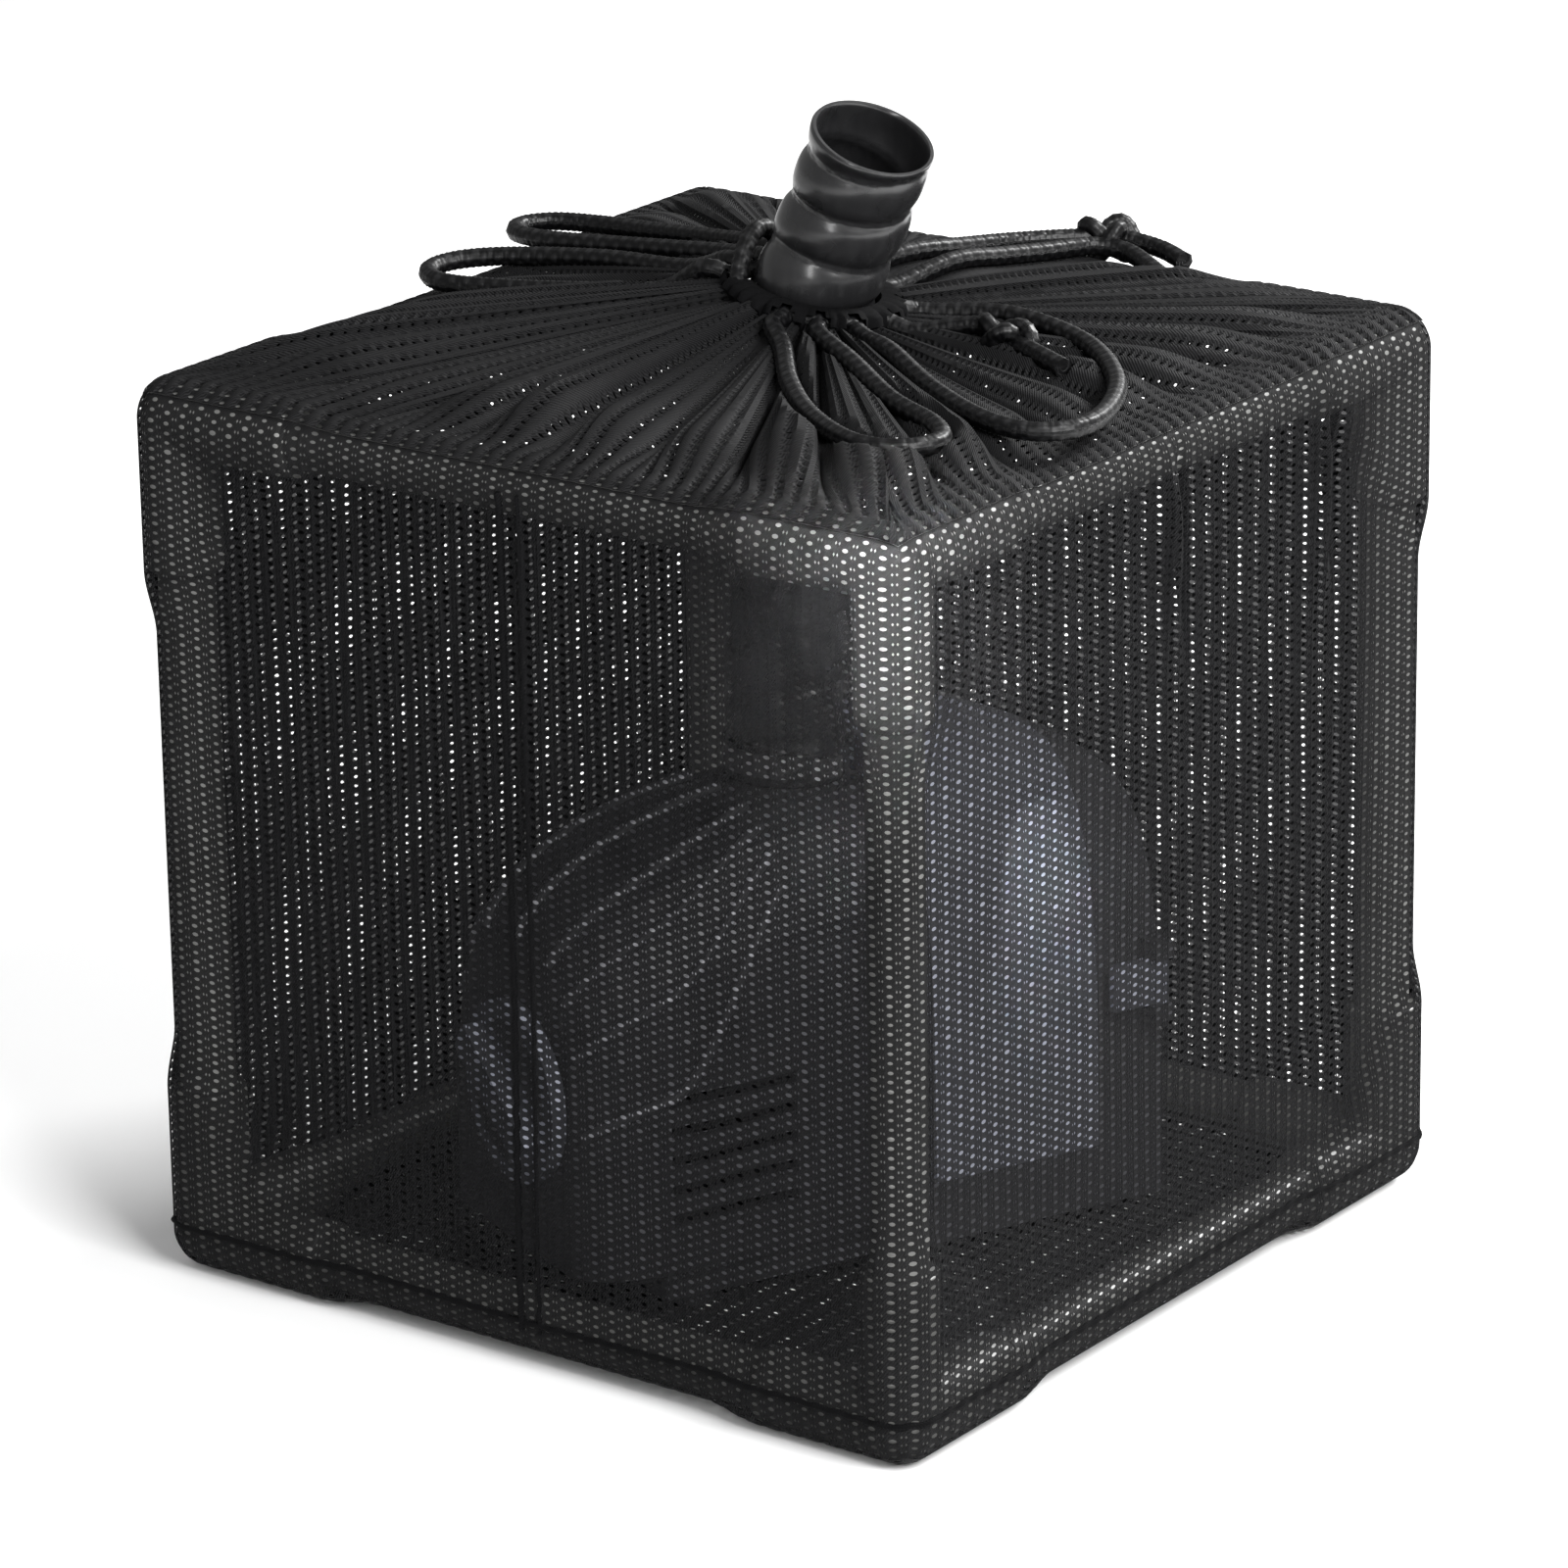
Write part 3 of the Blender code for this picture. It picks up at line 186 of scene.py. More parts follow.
class Paint:
    """Makes each finish once, as a procedural material."""

    def __init__(self) -> None:
        """Start with no materials made."""
        self.made: dict[str, bpy.types.Material] = {}

    def get(self, finish: Finish) -> bpy.types.Material:
        """Give the material of a finish.

        Args:
            finish: the finish.

        Returns:
            Its material, made on first use.
        """
        if finish.name not in self.made:
            self.made[finish.name] = self.build(finish)
        return self.made[finish.name]

    def build(self, finish: Finish) -> bpy.types.Material:
        """Build the node material of a finish.

        Args:
            finish: the finish.

        Returns:
            The new material.
        """
        material = bpy.data.materials.new(finish.name)
        material.use_nodes = True
        tree = material.node_tree
        shader = tree.nodes["Principled BSDF"]
        relief = self.relief(tree, finish)
        where = add_node(tree, "TexCoord")
        cloud = add_node(tree, "TexNoise", {"Vector": where.outputs["Object"], "Scale": 1 / (25 * MM), "Detail": 3.0})
        # The tone follows a cloud times the relief. On knitted and braided finishes, whose relief is the yarn, this
        # is painted shade in the hollows and painted sheen on the ridges; on the others it is a random mottle of the
        # grain
        mottle_and_painted_shade = add_node(tree, "Math", {0: cloud.outputs["Fac"], 1: relief}, operation='MULTIPLY_ADD')
        mottle_and_painted_shade.inputs[2].default_value = 0.1
        ramp = add_node(tree, "ValToRGB", {"Fac": mottle_and_painted_shade.outputs[0]})
        ramp.color_ramp.elements[0].color = to_linear(finish.shade)
        ramp.color_ramp.elements[0].position = 0.15
        ramp.color_ramp.elements[1].color = to_linear(finish.colour)
        ramp.color_ramp.elements[1].position = 0.5
        spread = finish.rough_spread / 2
        rough = add_node(tree, "MapRange", {"Value": cloud.outputs["Fac"], "From Min": 0.3, "From Max": 0.7,
                                            "To Min": finish.roughness - spread,
                                            "To Max": finish.roughness + spread})
        bump = add_node(tree, "Bump", {"Height": relief, "Strength": 0.8, "Distance": finish.depth_mm * MM})
        tree.links.new(ramp.outputs["Color"], shader.inputs["Base Color"])
        tree.links.new(rough.outputs["Result"], shader.inputs["Roughness"])
        tree.links.new(bump.outputs["Normal"], shader.inputs["Normal"])
        shader.inputs["Metallic"].default_value = finish.metallic
        shader.inputs["Specular IOR Level"].default_value = finish.specular
        shader.inputs["Coat Weight"].default_value = finish.coat
        shader.inputs["Alpha"].default_value = finish.cover
        shader.inputs["Coat Roughness"].default_value = 0.2
        return material

    def relief(self, tree: bpy.types.NodeTree, finish: Finish) -> bpy.types.NodeSocket:
        """Make the fine relief that the way of making leaves.

        Args:
            tree: the material's node tree.
            finish: the finish.

        Returns:
            A socket with the relief's height from 0 to 1.
        """
        where = add_node(tree, "TexCoord")
        scale = 1 / (finish.grain_mm * MM)
        if finish.pattern is Pattern.BRAIDED:
            strands = []
            for turn in (40, -40):
                turned = add_node(tree, "Mapping", {"Vector": where.outputs["UV"],
                                                    "Rotation": (0, 0, math.radians(turn))})
                wave = add_node(tree, "TexWave", {"Vector": turned.outputs["Vector"], "Scale": scale / math.tau,
                                                  "Distortion": 0.6, "Detail": 1.0})
                strands.append(wave.outputs["Fac"])
            return add_node(tree, "Math", {0: strands[0], 1: strands[1]}, operation='MULTIPLY').outputs[0]
        if finish.pattern is Pattern.KNITTED:
            turned = add_node(tree, "Mapping", {"Vector": where.outputs["UV"], "Rotation": (0, 0, math.radians(35))})
            yarn = add_node(tree, "TexWave", {"Vector": turned.outputs["Vector"], "Scale": scale / math.tau,
                                              "Distortion": 1.5, "Detail": 2.0})
            return yarn.outputs["Fac"]
        stretch = (1.0, 1.0, 1.0)
        if finish.pattern in (Pattern.EXTRUDED, Pattern.DRAWN):
            stretch = (1.0, 1.0, 0.12)
        mapped = add_node(tree, "Mapping", {"Vector": where.outputs["Object"], "Scale": stretch})
        grain = add_node(tree, "TexNoise", {"Vector": mapped.outputs["Vector"], "Scale": scale, "Detail": 4.0})
        return grain.outputs["Fac"]


PAINT = Paint()


def add_piece(name: str, points: np.ndarray, faces: Sequence[np.ndarray], finish: Finish,
              body: Body = Body.CAGE, uv: np.ndarray | None = None,
              stands_for: Sequence[str] = ()) -> bpy.types.Object:
    """Add a piece to the object.

    Args:
        name: the piece's name.
        points: its vertices, in metres.
        faces: arrays of faces, each with rows of three or four vertex numbers.
        finish: what it is made of.
        body: the body that it moves with.
        uv: a place on the material for each vertex, in metres.
        stands_for: the solids that it replaces.

    Returns:
        The new object.
    """
    mesh = bpy.data.meshes.new(name)
    loops = np.concatenate([np.asarray(f).ravel() for f in faces]).astype(np.int32)
    sizes = np.concatenate([np.full(len(f), np.asarray(f).shape[1]) for f in faces])
    starts = np.concatenate([[0], np.cumsum(sizes)[:-1]]).astype(np.int32)
    mesh.vertices.add(len(points))
    mesh.vertices.foreach_set("co", np.asarray(points, dtype=np.float32).ravel())
    mesh.loops.add(len(loops))
    mesh.loops.foreach_set("vertex_index", loops)
    mesh.polygons.add(len(sizes))
    mesh.polygons.foreach_set("loop_start", starts)
    mesh.update(calc_edges=True)
    if uv is not None:
        layer = mesh.uv_layers.new(name="yarn")
        layer.data.foreach_set("uv", np.asarray(uv, dtype=np.float32)[loops].ravel())
    mesh.validate()
    mesh.shade_smooth()
    mesh.set_sharp_from_angle(angle=math.radians(50))
    mesh.materials.append(PAINT.get(finish))
    obj = bpy.data.objects.new(name, mesh)
    bpy.context.scene.collection.objects.link(obj)
    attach(obj, body.value)
    if stands_for:
        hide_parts(*stands_for)
    return obj


def smooth_path(points: Sequence, step: float) -> np.ndarray:
    """Follow a smooth curve through points.

    Args:
        points: the points that it passes.
        step: about how far apart the new points are.

    Returns:
        Points on the curve, evenly spaced.
    """
    given = np.array([tuple(p) for p in points], dtype=float)
    ends = np.vstack([2 * given[0] - given[1], given, 2 * given[-1] - given[-2]])
    t = np.linspace(0, 1, 24, endpoint=False)[:, None]
    fine = []
    for a, b, c, d in zip(ends, ends[1:], ends[2:], ends[3:]):
        fine.append(0.5 * (2 * b + (c - a) * t + (2 * a - 5 * b + 4 * c - d) * t ** 2
                           + (3 * b - a - 3 * c + d) * t ** 3))
    line = np.vstack([*fine, given[-1:]])
    along = np.concatenate([[0], np.cumsum(np.linalg.norm(np.diff(line, axis=0), axis=1))])
    count = max(2, round(along[-1] / step))
    want = np.linspace(0, along[-1], count + 1)
    return np.stack([np.interp(want, along, line[:, i]) for i in range(3)], axis=1)


def path_length(path: np.ndarray) -> float:
    """Measure a path.

    Args:
        path: its points.

    Returns:
        Its length.
    """
    return float(np.linalg.norm(np.diff(path, axis=0), axis=1).sum())


def unit(v: np.ndarray) -> np.ndarray:
    """Scale vectors to a length of 1.

    Args:
        v: vectors along the last axis.

    Returns:
        The unit vectors.
    """
    return v / np.maximum(np.linalg.norm(v, axis=-1, keepdims=True), 1e-12)


def frames_along(path: np.ndarray) -> tuple[np.ndarray, np.ndarray]:
    """Carry a pair of directions along a path without twisting them.

    Args:
        path: its points.

    Returns:
        Two directions square to the path at each point.
    """
    run = unit(np.gradient(path, axis=0))
    start = np.cross(run[0], (0.0, 0.0, 1.0))
    if np.linalg.norm(start) < 0.2:
        start = np.cross(run[0], (0.0, 1.0, 0.0))
    across = [unit(start)]
    for direction in run[1:]:
        across.append(unit(across[-1] - np.dot(across[-1], direction) * direction))
    side = np.array(across)
    return side, np.cross(run, side)


def ring_quads(rings: int, sides: int, closed: bool) -> np.ndarray:
    """Join rings of points with faces.

    Args:
        rings: how many rings there are.
        sides: points in each ring.
        closed: True to join the last ring to the first.

    Returns:
        The faces, four vertex numbers each.
    """
    i, k = np.meshgrid(np.arange(rings if closed else rings - 1), np.arange(sides), indexing="ij")
    nxt, far = (k + 1) % sides, (i + 1) % rings
    return np.stack([i * sides + k, i * sides + nxt, far * sides + nxt, far * sides + k], axis=-1).reshape(-1, 4)


def sweep(path: np.ndarray, radius: np.ndarray | float, sides: int,
          closed: bool = False) -> tuple[np.ndarray, list[np.ndarray], np.ndarray]:
    """Sweep a round section along a path.

    Args:
        path: the points of the path.
        radius: one radius, or one for each point and side.
        sides: points round the section.
        closed: True if the path comes back to its start.

    Returns:
        The vertices, the faces and a place on the material for each vertex.
    """
    count = len(path)
    side, up = frames_along(path)
    turn = np.arange(sides) * math.tau / sides
    radii = np.broadcast_to(np.asarray(radius, dtype=float), (count, sides))
    ray = side[:, None] * np.cos(turn)[None, :, None] + up[:, None] * np.sin(turn)[None, :, None]
    points = (path[:, None] + radii[..., None] * ray).reshape(-1, 3)
    along = np.concatenate([[0], np.cumsum(np.linalg.norm(np.diff(path, axis=0), axis=1))])
    uv = np.stack(np.broadcast_arrays(along[:, None], turn[None] * radii.mean()), axis=-1).reshape(-1, 2)
    faces = [ring_quads(count, sides, closed)]
    if not closed:
        ends = len(points) + np.arange(2)
        points = np.vstack([points, path[:1], path[-1:]])
        uv = np.vstack([uv, uv[:1], uv[-1:]])
        k = np.arange(sides)
        last = (count - 1) * sides
        faces.append(np.stack([np.full(sides, ends[0]), (k + 1) % sides, k], axis=-1))
        faces.append(np.stack([np.full(sides, ends[1]), last + k, last + (k + 1) % sides], axis=-1))
    return points, faces, uv


def join(parts: Sequence[tuple[np.ndarray, list[np.ndarray], np.ndarray]]
         ) -> tuple[np.ndarray, list[np.ndarray], np.ndarray]:
    """Put several meshes into one.

    Args:
        parts: the vertices, faces and material places of each.

    Returns:
        The vertices, faces and material places of all.
    """
    points, faces, uvs, base = [], [], [], 0
    for p, f, uv in parts:
        points.append(p)
        uvs.append(uv)
        faces += [a + base for a in f]
        base += len(p)
    return np.vstack(points), faces, np.vstack(uvs)


def ease(share: np.ndarray) -> np.ndarray:
    """Step smoothly from 0 to 1.

    Args:
        share: values that run past 0 and 1.

    Returns:
        The smooth step.
    """
    s = np.clip(share, 0.0, 1.0)
    return s * s * (3 - 2 * s)


@dataclass(frozen=True)
class CageSizes:
    """Sizes of the pipe cage, in metres."""

    span: float = 0.320
    pipe_od: float = 0.0213
    fitting_od: float = 0.0286
    fitting_arm: float = 0.058
    socket_depth: float = 0.026
    centre_z: float = 0.1757
    lip: float = 0.0012
    sides: int = 36

    @property
    def half(self) -> float:
        """Half the span.

        Returns:
            The distance from the middle to a pipe's axis.
        """
        return self.span / 2


class Cage:
    """The pipes and the corner fittings."""

    def __init__(self, sizes: CageSizes) -> None:
        """Keep the sizes.

        Args:
            sizes: the cage's sizes.
        """
        self.sizes = sizes
        self.centre = np.array((0.0, 0.0, sizes.centre_z))

    def build(self) -> int:
        """Add all pipes and fittings.

        Returns:
            How many pieces were added.
        """
        depth, side, level = {-1: "front", 1: "back"}, {-1: "left", 1: "right"}, {-1: "bottom", 1: "top"}
        count = 0
        for sy in depth:
            for sx in side:
                self.add_pipe(f"post_{depth[sy]}_{side[sx]}", (sx, sy, 0))
                for sz in level:
                    self.add_fitting(f"{level[sz]}_corner_{depth[sy]}_{side[sx]}", (sx, sy, sz))
                count += 3
        for sz in level:
            for sy in depth:
                self.add_pipe(f"{level[sz]}_rail_{depth[sy]}", (0, sy, sz))
            for sx in side:
                self.add_pipe(f"{level[sz]}_rail_{side[sx]}", (sx, 0, sz))
            count += 4
        return count

    def add_pipe(self, node: str, place: tuple[int, int, int]) -> None:
        """Add one pipe.

        Args:
            node: the solid that it replaces.
            place: the edge's side on each axis, with 0 for the axis that it runs along.
        """
        s = self.sizes
        axis = np.array([1.0 if p == 0 else 0.0 for p in place])
        middle = self.centre + s.half * np.array(place)
        reach = s.half - s.fitting_arm + s.socket_depth
        path = middle + np.linspace(-reach, reach, 9)[:, None] * axis
        points, faces, uv = sweep(path, s.pipe_od / 2, s.sides)
        # The pipe's grey is painted shade, and darker at the foot: deeper painted shade there
        add_piece("pipe_" + node, points, faces, PIPE_PAINTED_FOOT_SHADE if place[2] < 0 else PIPE, uv=uv, stands_for=[node])

    def add_fitting(self, node: str, place: tuple[int, int, int]) -> None:
        """Add one three-way fitting: a ball with three arms, each with a rolled lip.

        Args:
            node: the solid that it replaces.
            place: the corner's side on each axis.
        """
        s = self.sizes
        corner = self.centre + s.half * np.array(place)
        radius = s.fitting_od / 2
        parts = []
        for i in range(3):
            arm = np.zeros(3)
            arm[i] = -place[i]
            stops = [0.0, s.fitting_arm * 0.5, s.fitting_arm - 2 * s.lip, s.fitting_arm - s.lip / 2, s.fitting_arm]
            widths = [radius, radius, radius, radius - s.lip / 4, radius - s.lip]
            path = corner + np.array(stops)[:, None] * arm
            parts.append(sweep(path, np.array(widths)[:, None], s.sides))
        tilt = np.linspace(-math.pi / 2, math.pi / 2, 18)
        path = corner + radius * np.sin(tilt)[:, None] * np.array((0.0, 0.0, 1.0))
        parts.append(sweep(path, np.maximum(radius * np.cos(tilt), 1e-5)[:, None], s.sides))
        points, faces, uv = join(parts)
        # The fitting's grey is painted shade, and darker at the foot: deeper painted shade there
        finish = FITTING_PAINTED_FOOT_SHADE if place[2] < 0 else FITTING
        add_piece("fitting_" + node, points, faces, finish, uv=uv, stands_for=[node])


@dataclass(frozen=True)
class HoseSizes:
    """Sizes and route of the ribbed hose, in metres."""

    outer: float = 0.047
    bore: float = 0.0425
    groove: float = 0.0027
    rib: float = 0.0007
    pitch: float = 0.021
    cuff: float = 0.005
    pump: tuple = (-0.0016, -0.0037, 0.0)
    foot: float = 0.1846
    tail: float = 0.030
    neck: tuple = (0.0066, 0.0047, 0.3640)
    above: tuple = ((0.0209, 0.0086, 0.4030), (0.0341, 0.0065, 0.4315))
    bow: float = 0.0015
    start: float = 0.0115
    step: float = 0.0009
    lip: float = 0.0005
    inner_share: float = 0.8
    sides: int = 72


class RibbedHose:
    """The hose from the pump to its open end, with ribs that wind round it."""

    def __init__(self, sizes: HoseSizes) -> None:
        """Work out the route.

        Args:
            sizes: the hose's sizes.
        """
        self.sizes = sizes
        foot = Vector(sizes.pump) + sizes.foot * Z
        neck = Vector(sizes.neck)
        straight = [foot + share * sizes.tail * Z for share in (0, 1, 1.8)]
        below = [*straight, foot.lerp(neck, 0.62) - Vector((sizes.bow, 0, 0))]
        self.route = [*below, neck, *(Vector(p) for p in sizes.above)]
        coarse = smooth_path(self.route, sizes.pitch / 2)
        near = 1 + int(np.argmin(np.linalg.norm(coarse[1:-1] - np.array(neck), axis=1)))
        run = Vector(coarse[near + 1] - coarse[near - 1])
        self.neck_frame = Matrix.Translation(neck) @ Z.rotation_difference(run).to_matrix().to_4x4()

    def profile(self, turns: np.ndarray) -> np.ndarray:
        """Shape one turn: a wide bulge, and a groove with a narrow rib in it.

        Args:
            turns: place along the winding, in turns.

        Returns:
            The depth below the bulge's crest.
        """
        s = self.sizes
        from_crest = np.abs((turns % 1.0) - 0.5) * 2
        depth = s.groove * from_crest ** 2.6
        return depth - s.rib * ease((from_crest - 0.90) / 0.06)

    def build(self) -> int:
        """Add the hose.

        Returns:
            How many pieces were added.
        """
        s = self.sizes
        path = smooth_path(self.route, s.step)
        along = np.linspace(0, path_length(path), len(path))
        angle = np.arange(s.sides) * math.tau / s.sides
        depth = self.profile((along[:, None] + s.start) / s.pitch - angle[None] / math.tau)
        end = np.minimum(along, along[-1] - along)[:, None]
        outer = s.outer / 2 - depth * ease(end / s.cuff)
        outer[[0, -1]] -= s.lip
        inner = np.full_like(outer, s.bore / 2) + s.inner_share * (outer - s.outer / 2)
        inner[[0, -1]] = s.bore / 2 + s.lip
        radii = np.vstack([outer, inner[::-1]])
        back = np.concatenate([np.arange(len(path)), np.arange(len(path))[::-1]])
        side, up = frames_along(path)
        ray = (side[back, None] * np.cos(angle)[None, :, None]
               + up[back, None] * np.sin(angle)[None, :, None])
        points = (path[back, None] + radii[..., None] * ray).reshape(-1, 3)
        add_piece("ribbed_hose", points, [ring_quads(len(back), s.sides, True)], HOSE, stands_for=["hose"])
        return 1


@dataclass(frozen=True)
class CordSizes:
    """Sizes of the drawcords, in metres."""

    diameter: float = 0.007
    cinch_radius: float = 0.0287
    cinch_height: float = 0.0037
    gap: float = 0.0003
    carriers: int = 8
    stitch: float = 0.0048
    relief: float = 0.10
    arch_height: float = 0.018
    arch_middle: float = math.radians(180)
    arch_half: float = math.radians(57)
    sides: int = 24
    step: float = 0.0009


class Drawcords:
    """The turn of cord round the neck, its loops, its tails and the knots."""

    LOOPS = {
        "left_loop_near": (174, [
            (-0.058, 0.0150, 0.3670), (-0.098, 0.0175, 0.3640), (-0.136, 0.0135, 0.3605),
            (-0.157, 0.0030, 0.3585), (-0.161, -0.0120, 0.3575), (-0.148, -0.0225, 0.3570),
            (-0.122, -0.0190, 0.3575), (-0.085, -0.0130, 0.3605), (-0.052, -0.0095, 0.3650)], 198),
        "left_loop_far": (151, [
            (-0.058, 0.0330, 0.3690), (-0.100, 0.0340, 0.3650), (-0.138, 0.0335, 0.3620),
            (-0.158, 0.0385, 0.3605), (-0.166, 0.0505, 0.3600), (-0.158, 0.0625, 0.3600),
            (-0.138, 0.0670, 0.3605), (-0.112, 0.0640, 0.3625), (-0.078, 0.0580, 0.3660),
            (-0.046, 0.0500, 0.3695)], 128),
        "front_loop_small": (-74, [
            (0.032, -0.0480, 0.3645), (0.052, -0.0710, 0.3600), (0.079, -0.0950, 0.3580),
            (0.108, -0.1110, 0.3575), (0.127, -0.1080, 0.3575), (0.133, -0.0930, 0.3575),
            (0.120, -0.0790, 0.3580), (0.092, -0.0650, 0.3590), (0.060, -0.0440, 0.3625)], -51),
        "front_loop_large": (-27, [
            (0.064, -0.0260, 0.3630), (0.097, -0.0470, 0.3595), (0.131, -0.0640, 0.3580),
            (0.153, -0.0660, 0.3575), (0.164, -0.0530, 0.3575), (0.160, -0.0280, 0.3575),
            (0.141, 0.0050, 0.3580), (0.107, 0.0350, 0.3590), (0.070, 0.0420, 0.3620)], 43),
    }
    TAILS = {
        "front_tail": (8, [], [
            (0.0720, 0.0180, 0.3640), (0.0850, 0.0155, 0.3620), (0.0990, 0.0115, 0.3603), (0.119, 0.0040, 0.3585)]),
        "back_tail_left": (107, [(0.001, 0.0750, 0.3685), (0.005, 0.1020, 0.3650), (0.012, 0.1260, 0.3625)], [
            (0.0270, 0.1490, 0.3610), (0.0400, 0.1600, 0.3600), (0.056, 0.1620, 0.3580), (0.071, 0.1560, 0.3565)]),
        "back_tail_right": (80, [(0.020, 0.0750, 0.3675), (0.024, 0.1000, 0.3645), (0.029, 0.1220, 0.3620)], [
            (0.0325, 0.1360, 0.3608), (0.0370, 0.1455, 0.3600), (0.0468, 0.1495, 0.3590), (0.056, 0.1465, 0.3580),
            (0.074, 0.1350, 0.3565)]),
    }
    KNOTS = {
        "front_knot": ((0.085, 0.0155, 0.3620), (0.0148, 0.0085, 0.0068), -0.25, "front_tail"),
        "back_knot": ((0.036, 0.1565, 0.3600), (0.0120, 0.0105, 0.0085), 0.5, "back_tail_left"),
    }

    def __init__(self, sizes: CordSizes, neck_frame: Matrix) -> None:
        """Work out every cord's route.

        Args:
            sizes: the cords' sizes.
            neck_frame: the frame of the bag's neck.
        """
        self.sizes = sizes
        self.neck_frame = neck_frame
        self.paths: dict[str, np.ndarray] = {}
        self.bight = np.zeros((0, 3))
        for name, (start, points, end) in self.LOOPS.items():
            route = [*self.from_neck(start), *points, *self.from_neck(end)[::-1]]
            self.paths[name] = smooth_path(route, sizes.step)
        for name, (start, points, last) in self.TAILS.items():
            self.paths[name] = smooth_path([*self.from_neck(start), *points, *last], sizes.step)

    def from_neck(self, degrees: float) -> list[Vector]:
        """Start a cord straight out of the turn round the neck.

        Args:
            degrees: the direction, from +X seen from above.

        Returns:
            The first two points.
        """
        s = self.sizes
        ray = Vector((math.cos(math.radians(degrees)), math.sin(math.radians(degrees)), 0))
        near = s.cinch_radius + s.diameter / 2 + 2 * s.gap
        return [self.neck_frame @ (r * ray + s.cinch_height * Z) for r in (near, near + 1.5 * s.diameter)]

    def braid(self, path: np.ndarray, radius: float) -> np.ndarray:
        """Shape the braid's stitches on a cord.

        Args:
            path: the cord's path.
            radius: its mean radius.

        Returns:
            A radius for each point and side.
        """
        s = self.sizes
        along = np.linspace(0, path_length(path), len(path))[:, None] / s.stitch
        around = np.arange(s.sides)[None] / s.sides * s.carriers / 2
        stitch = np.cos(math.tau * (around + along)) * np.cos(math.tau * (around - along))
        return radius * (1 + s.relief * stitch)

    def build(self) -> int:
        """Add the turn, the cords and the knots.

        Returns:
            How many pieces were added.
        """
        s = self.sizes
        radius = s.diameter / 2
        around = np.linspace(0, math.tau, 220, endpoint=False)
        rise = s.arch_height * np.cos(np.clip((around - s.arch_middle) / s.arch_half, -1, 1) * math.pi / 2) ** 2
        ring = np.array([self.neck_frame @ Vector((s.cinch_radius * math.cos(t), s.cinch_radius * math.sin(t),
                                                   s.cinch_height + up)) for t, up in zip(around, rise)])
        self.bight = ring[rise > radius / 2]
        points, faces, uv = sweep(ring, self.braid(ring, radius * 0.97), s.sides, closed=True)
        add_piece("cinch_cord", points, faces, BRAID, uv=uv, stands_for=["cinch_turn"])
        knots = {}
        for name, (at, size, turn, tail) in self.KNOTS.items():
            knots[tail] = self.add_knot(name, at, size, turn)
        for name, path in self.paths.items():
            points, faces, uv = sweep(path, self.braid(path, radius), s.sides)
            obj = add_piece("cord_" + name, points, faces, BRAID, uv=uv, stands_for=[name])
            LOG.info("cord %s is %.0f mm long", name, path_length(path) / MM)
        return 1 + len(knots) + len(self.paths)

    def add_knot(self, name: str, at: tuple, size: tuple, turn: float) -> bpy.types.Object:
        """Add an overhand knot, drawn tight.

        Args:
            name: the solid that it replaces.
            at: its middle.
            size: half its length, width and height.
            turn: its turn about Z, in radians.

        Returns:
            The knot.
        """
        s = self.sizes
        radius = 0.9 * s.diameter / 2
        t = np.linspace(0, math.tau, 140, endpoint=False)
        strand = np.stack([(np.sin(t) + 2 * np.sin(2 * t)) / 2.8, (np.cos(t) - 2 * np.cos(2 * t)) / 2.8,
                           -np.sin(3 * t)], axis=-1)
        strand *= np.array(size) * 1.05 - radius
        c, sn = math.cos(turn), math.sin(turn)
        strand = strand @ np.array(((c, sn, 0), (-sn, c, 0), (0, 0, 1))) + np.array(at)
        points, faces, uv = sweep(strand, self.braid(strand, radius), s.sides, closed=True)
        return add_piece("tied_" + name, points, faces, BRAID, uv=uv, stands_for=[name])


@dataclass(frozen=True)
class BagSizes:
    """Sizes of the bag's cloth, in metres."""

    cloth: float = 0.0008
    on_pipe: float = 0.01125
    on_fitting: float = 0.0149
    slack: float = 0.025
    base_rise: float = 0.040
    wrap: float = 0.0105
    columns: int = 46
    rows: int = 96
    top_rows: int = 44
    top_run: float = 0.17
    base_cells: int = 40
    hole_wide: float = 0.34
    hole_high: float = 0.38
    pin_wide: float = 0.055
    pin_high: float = 0.17
    crest: float = 0.00036
    top_crest: float = 0.0009
    pleats: int = 34
    pleat: float = 0.0054
    neck_radius: float = 0.0322
    fold_slope: float = 0.55
    fold_reach: float = 0.022
    oval_end: float = 0.60
    pin_line: float = 0.80
    crease: float = 0.0055
    foot_seam: float = 0.0011
    foot_seam_at: float = 0.042
    seam_sides: int = 10
    seam_relief: float = 0.28


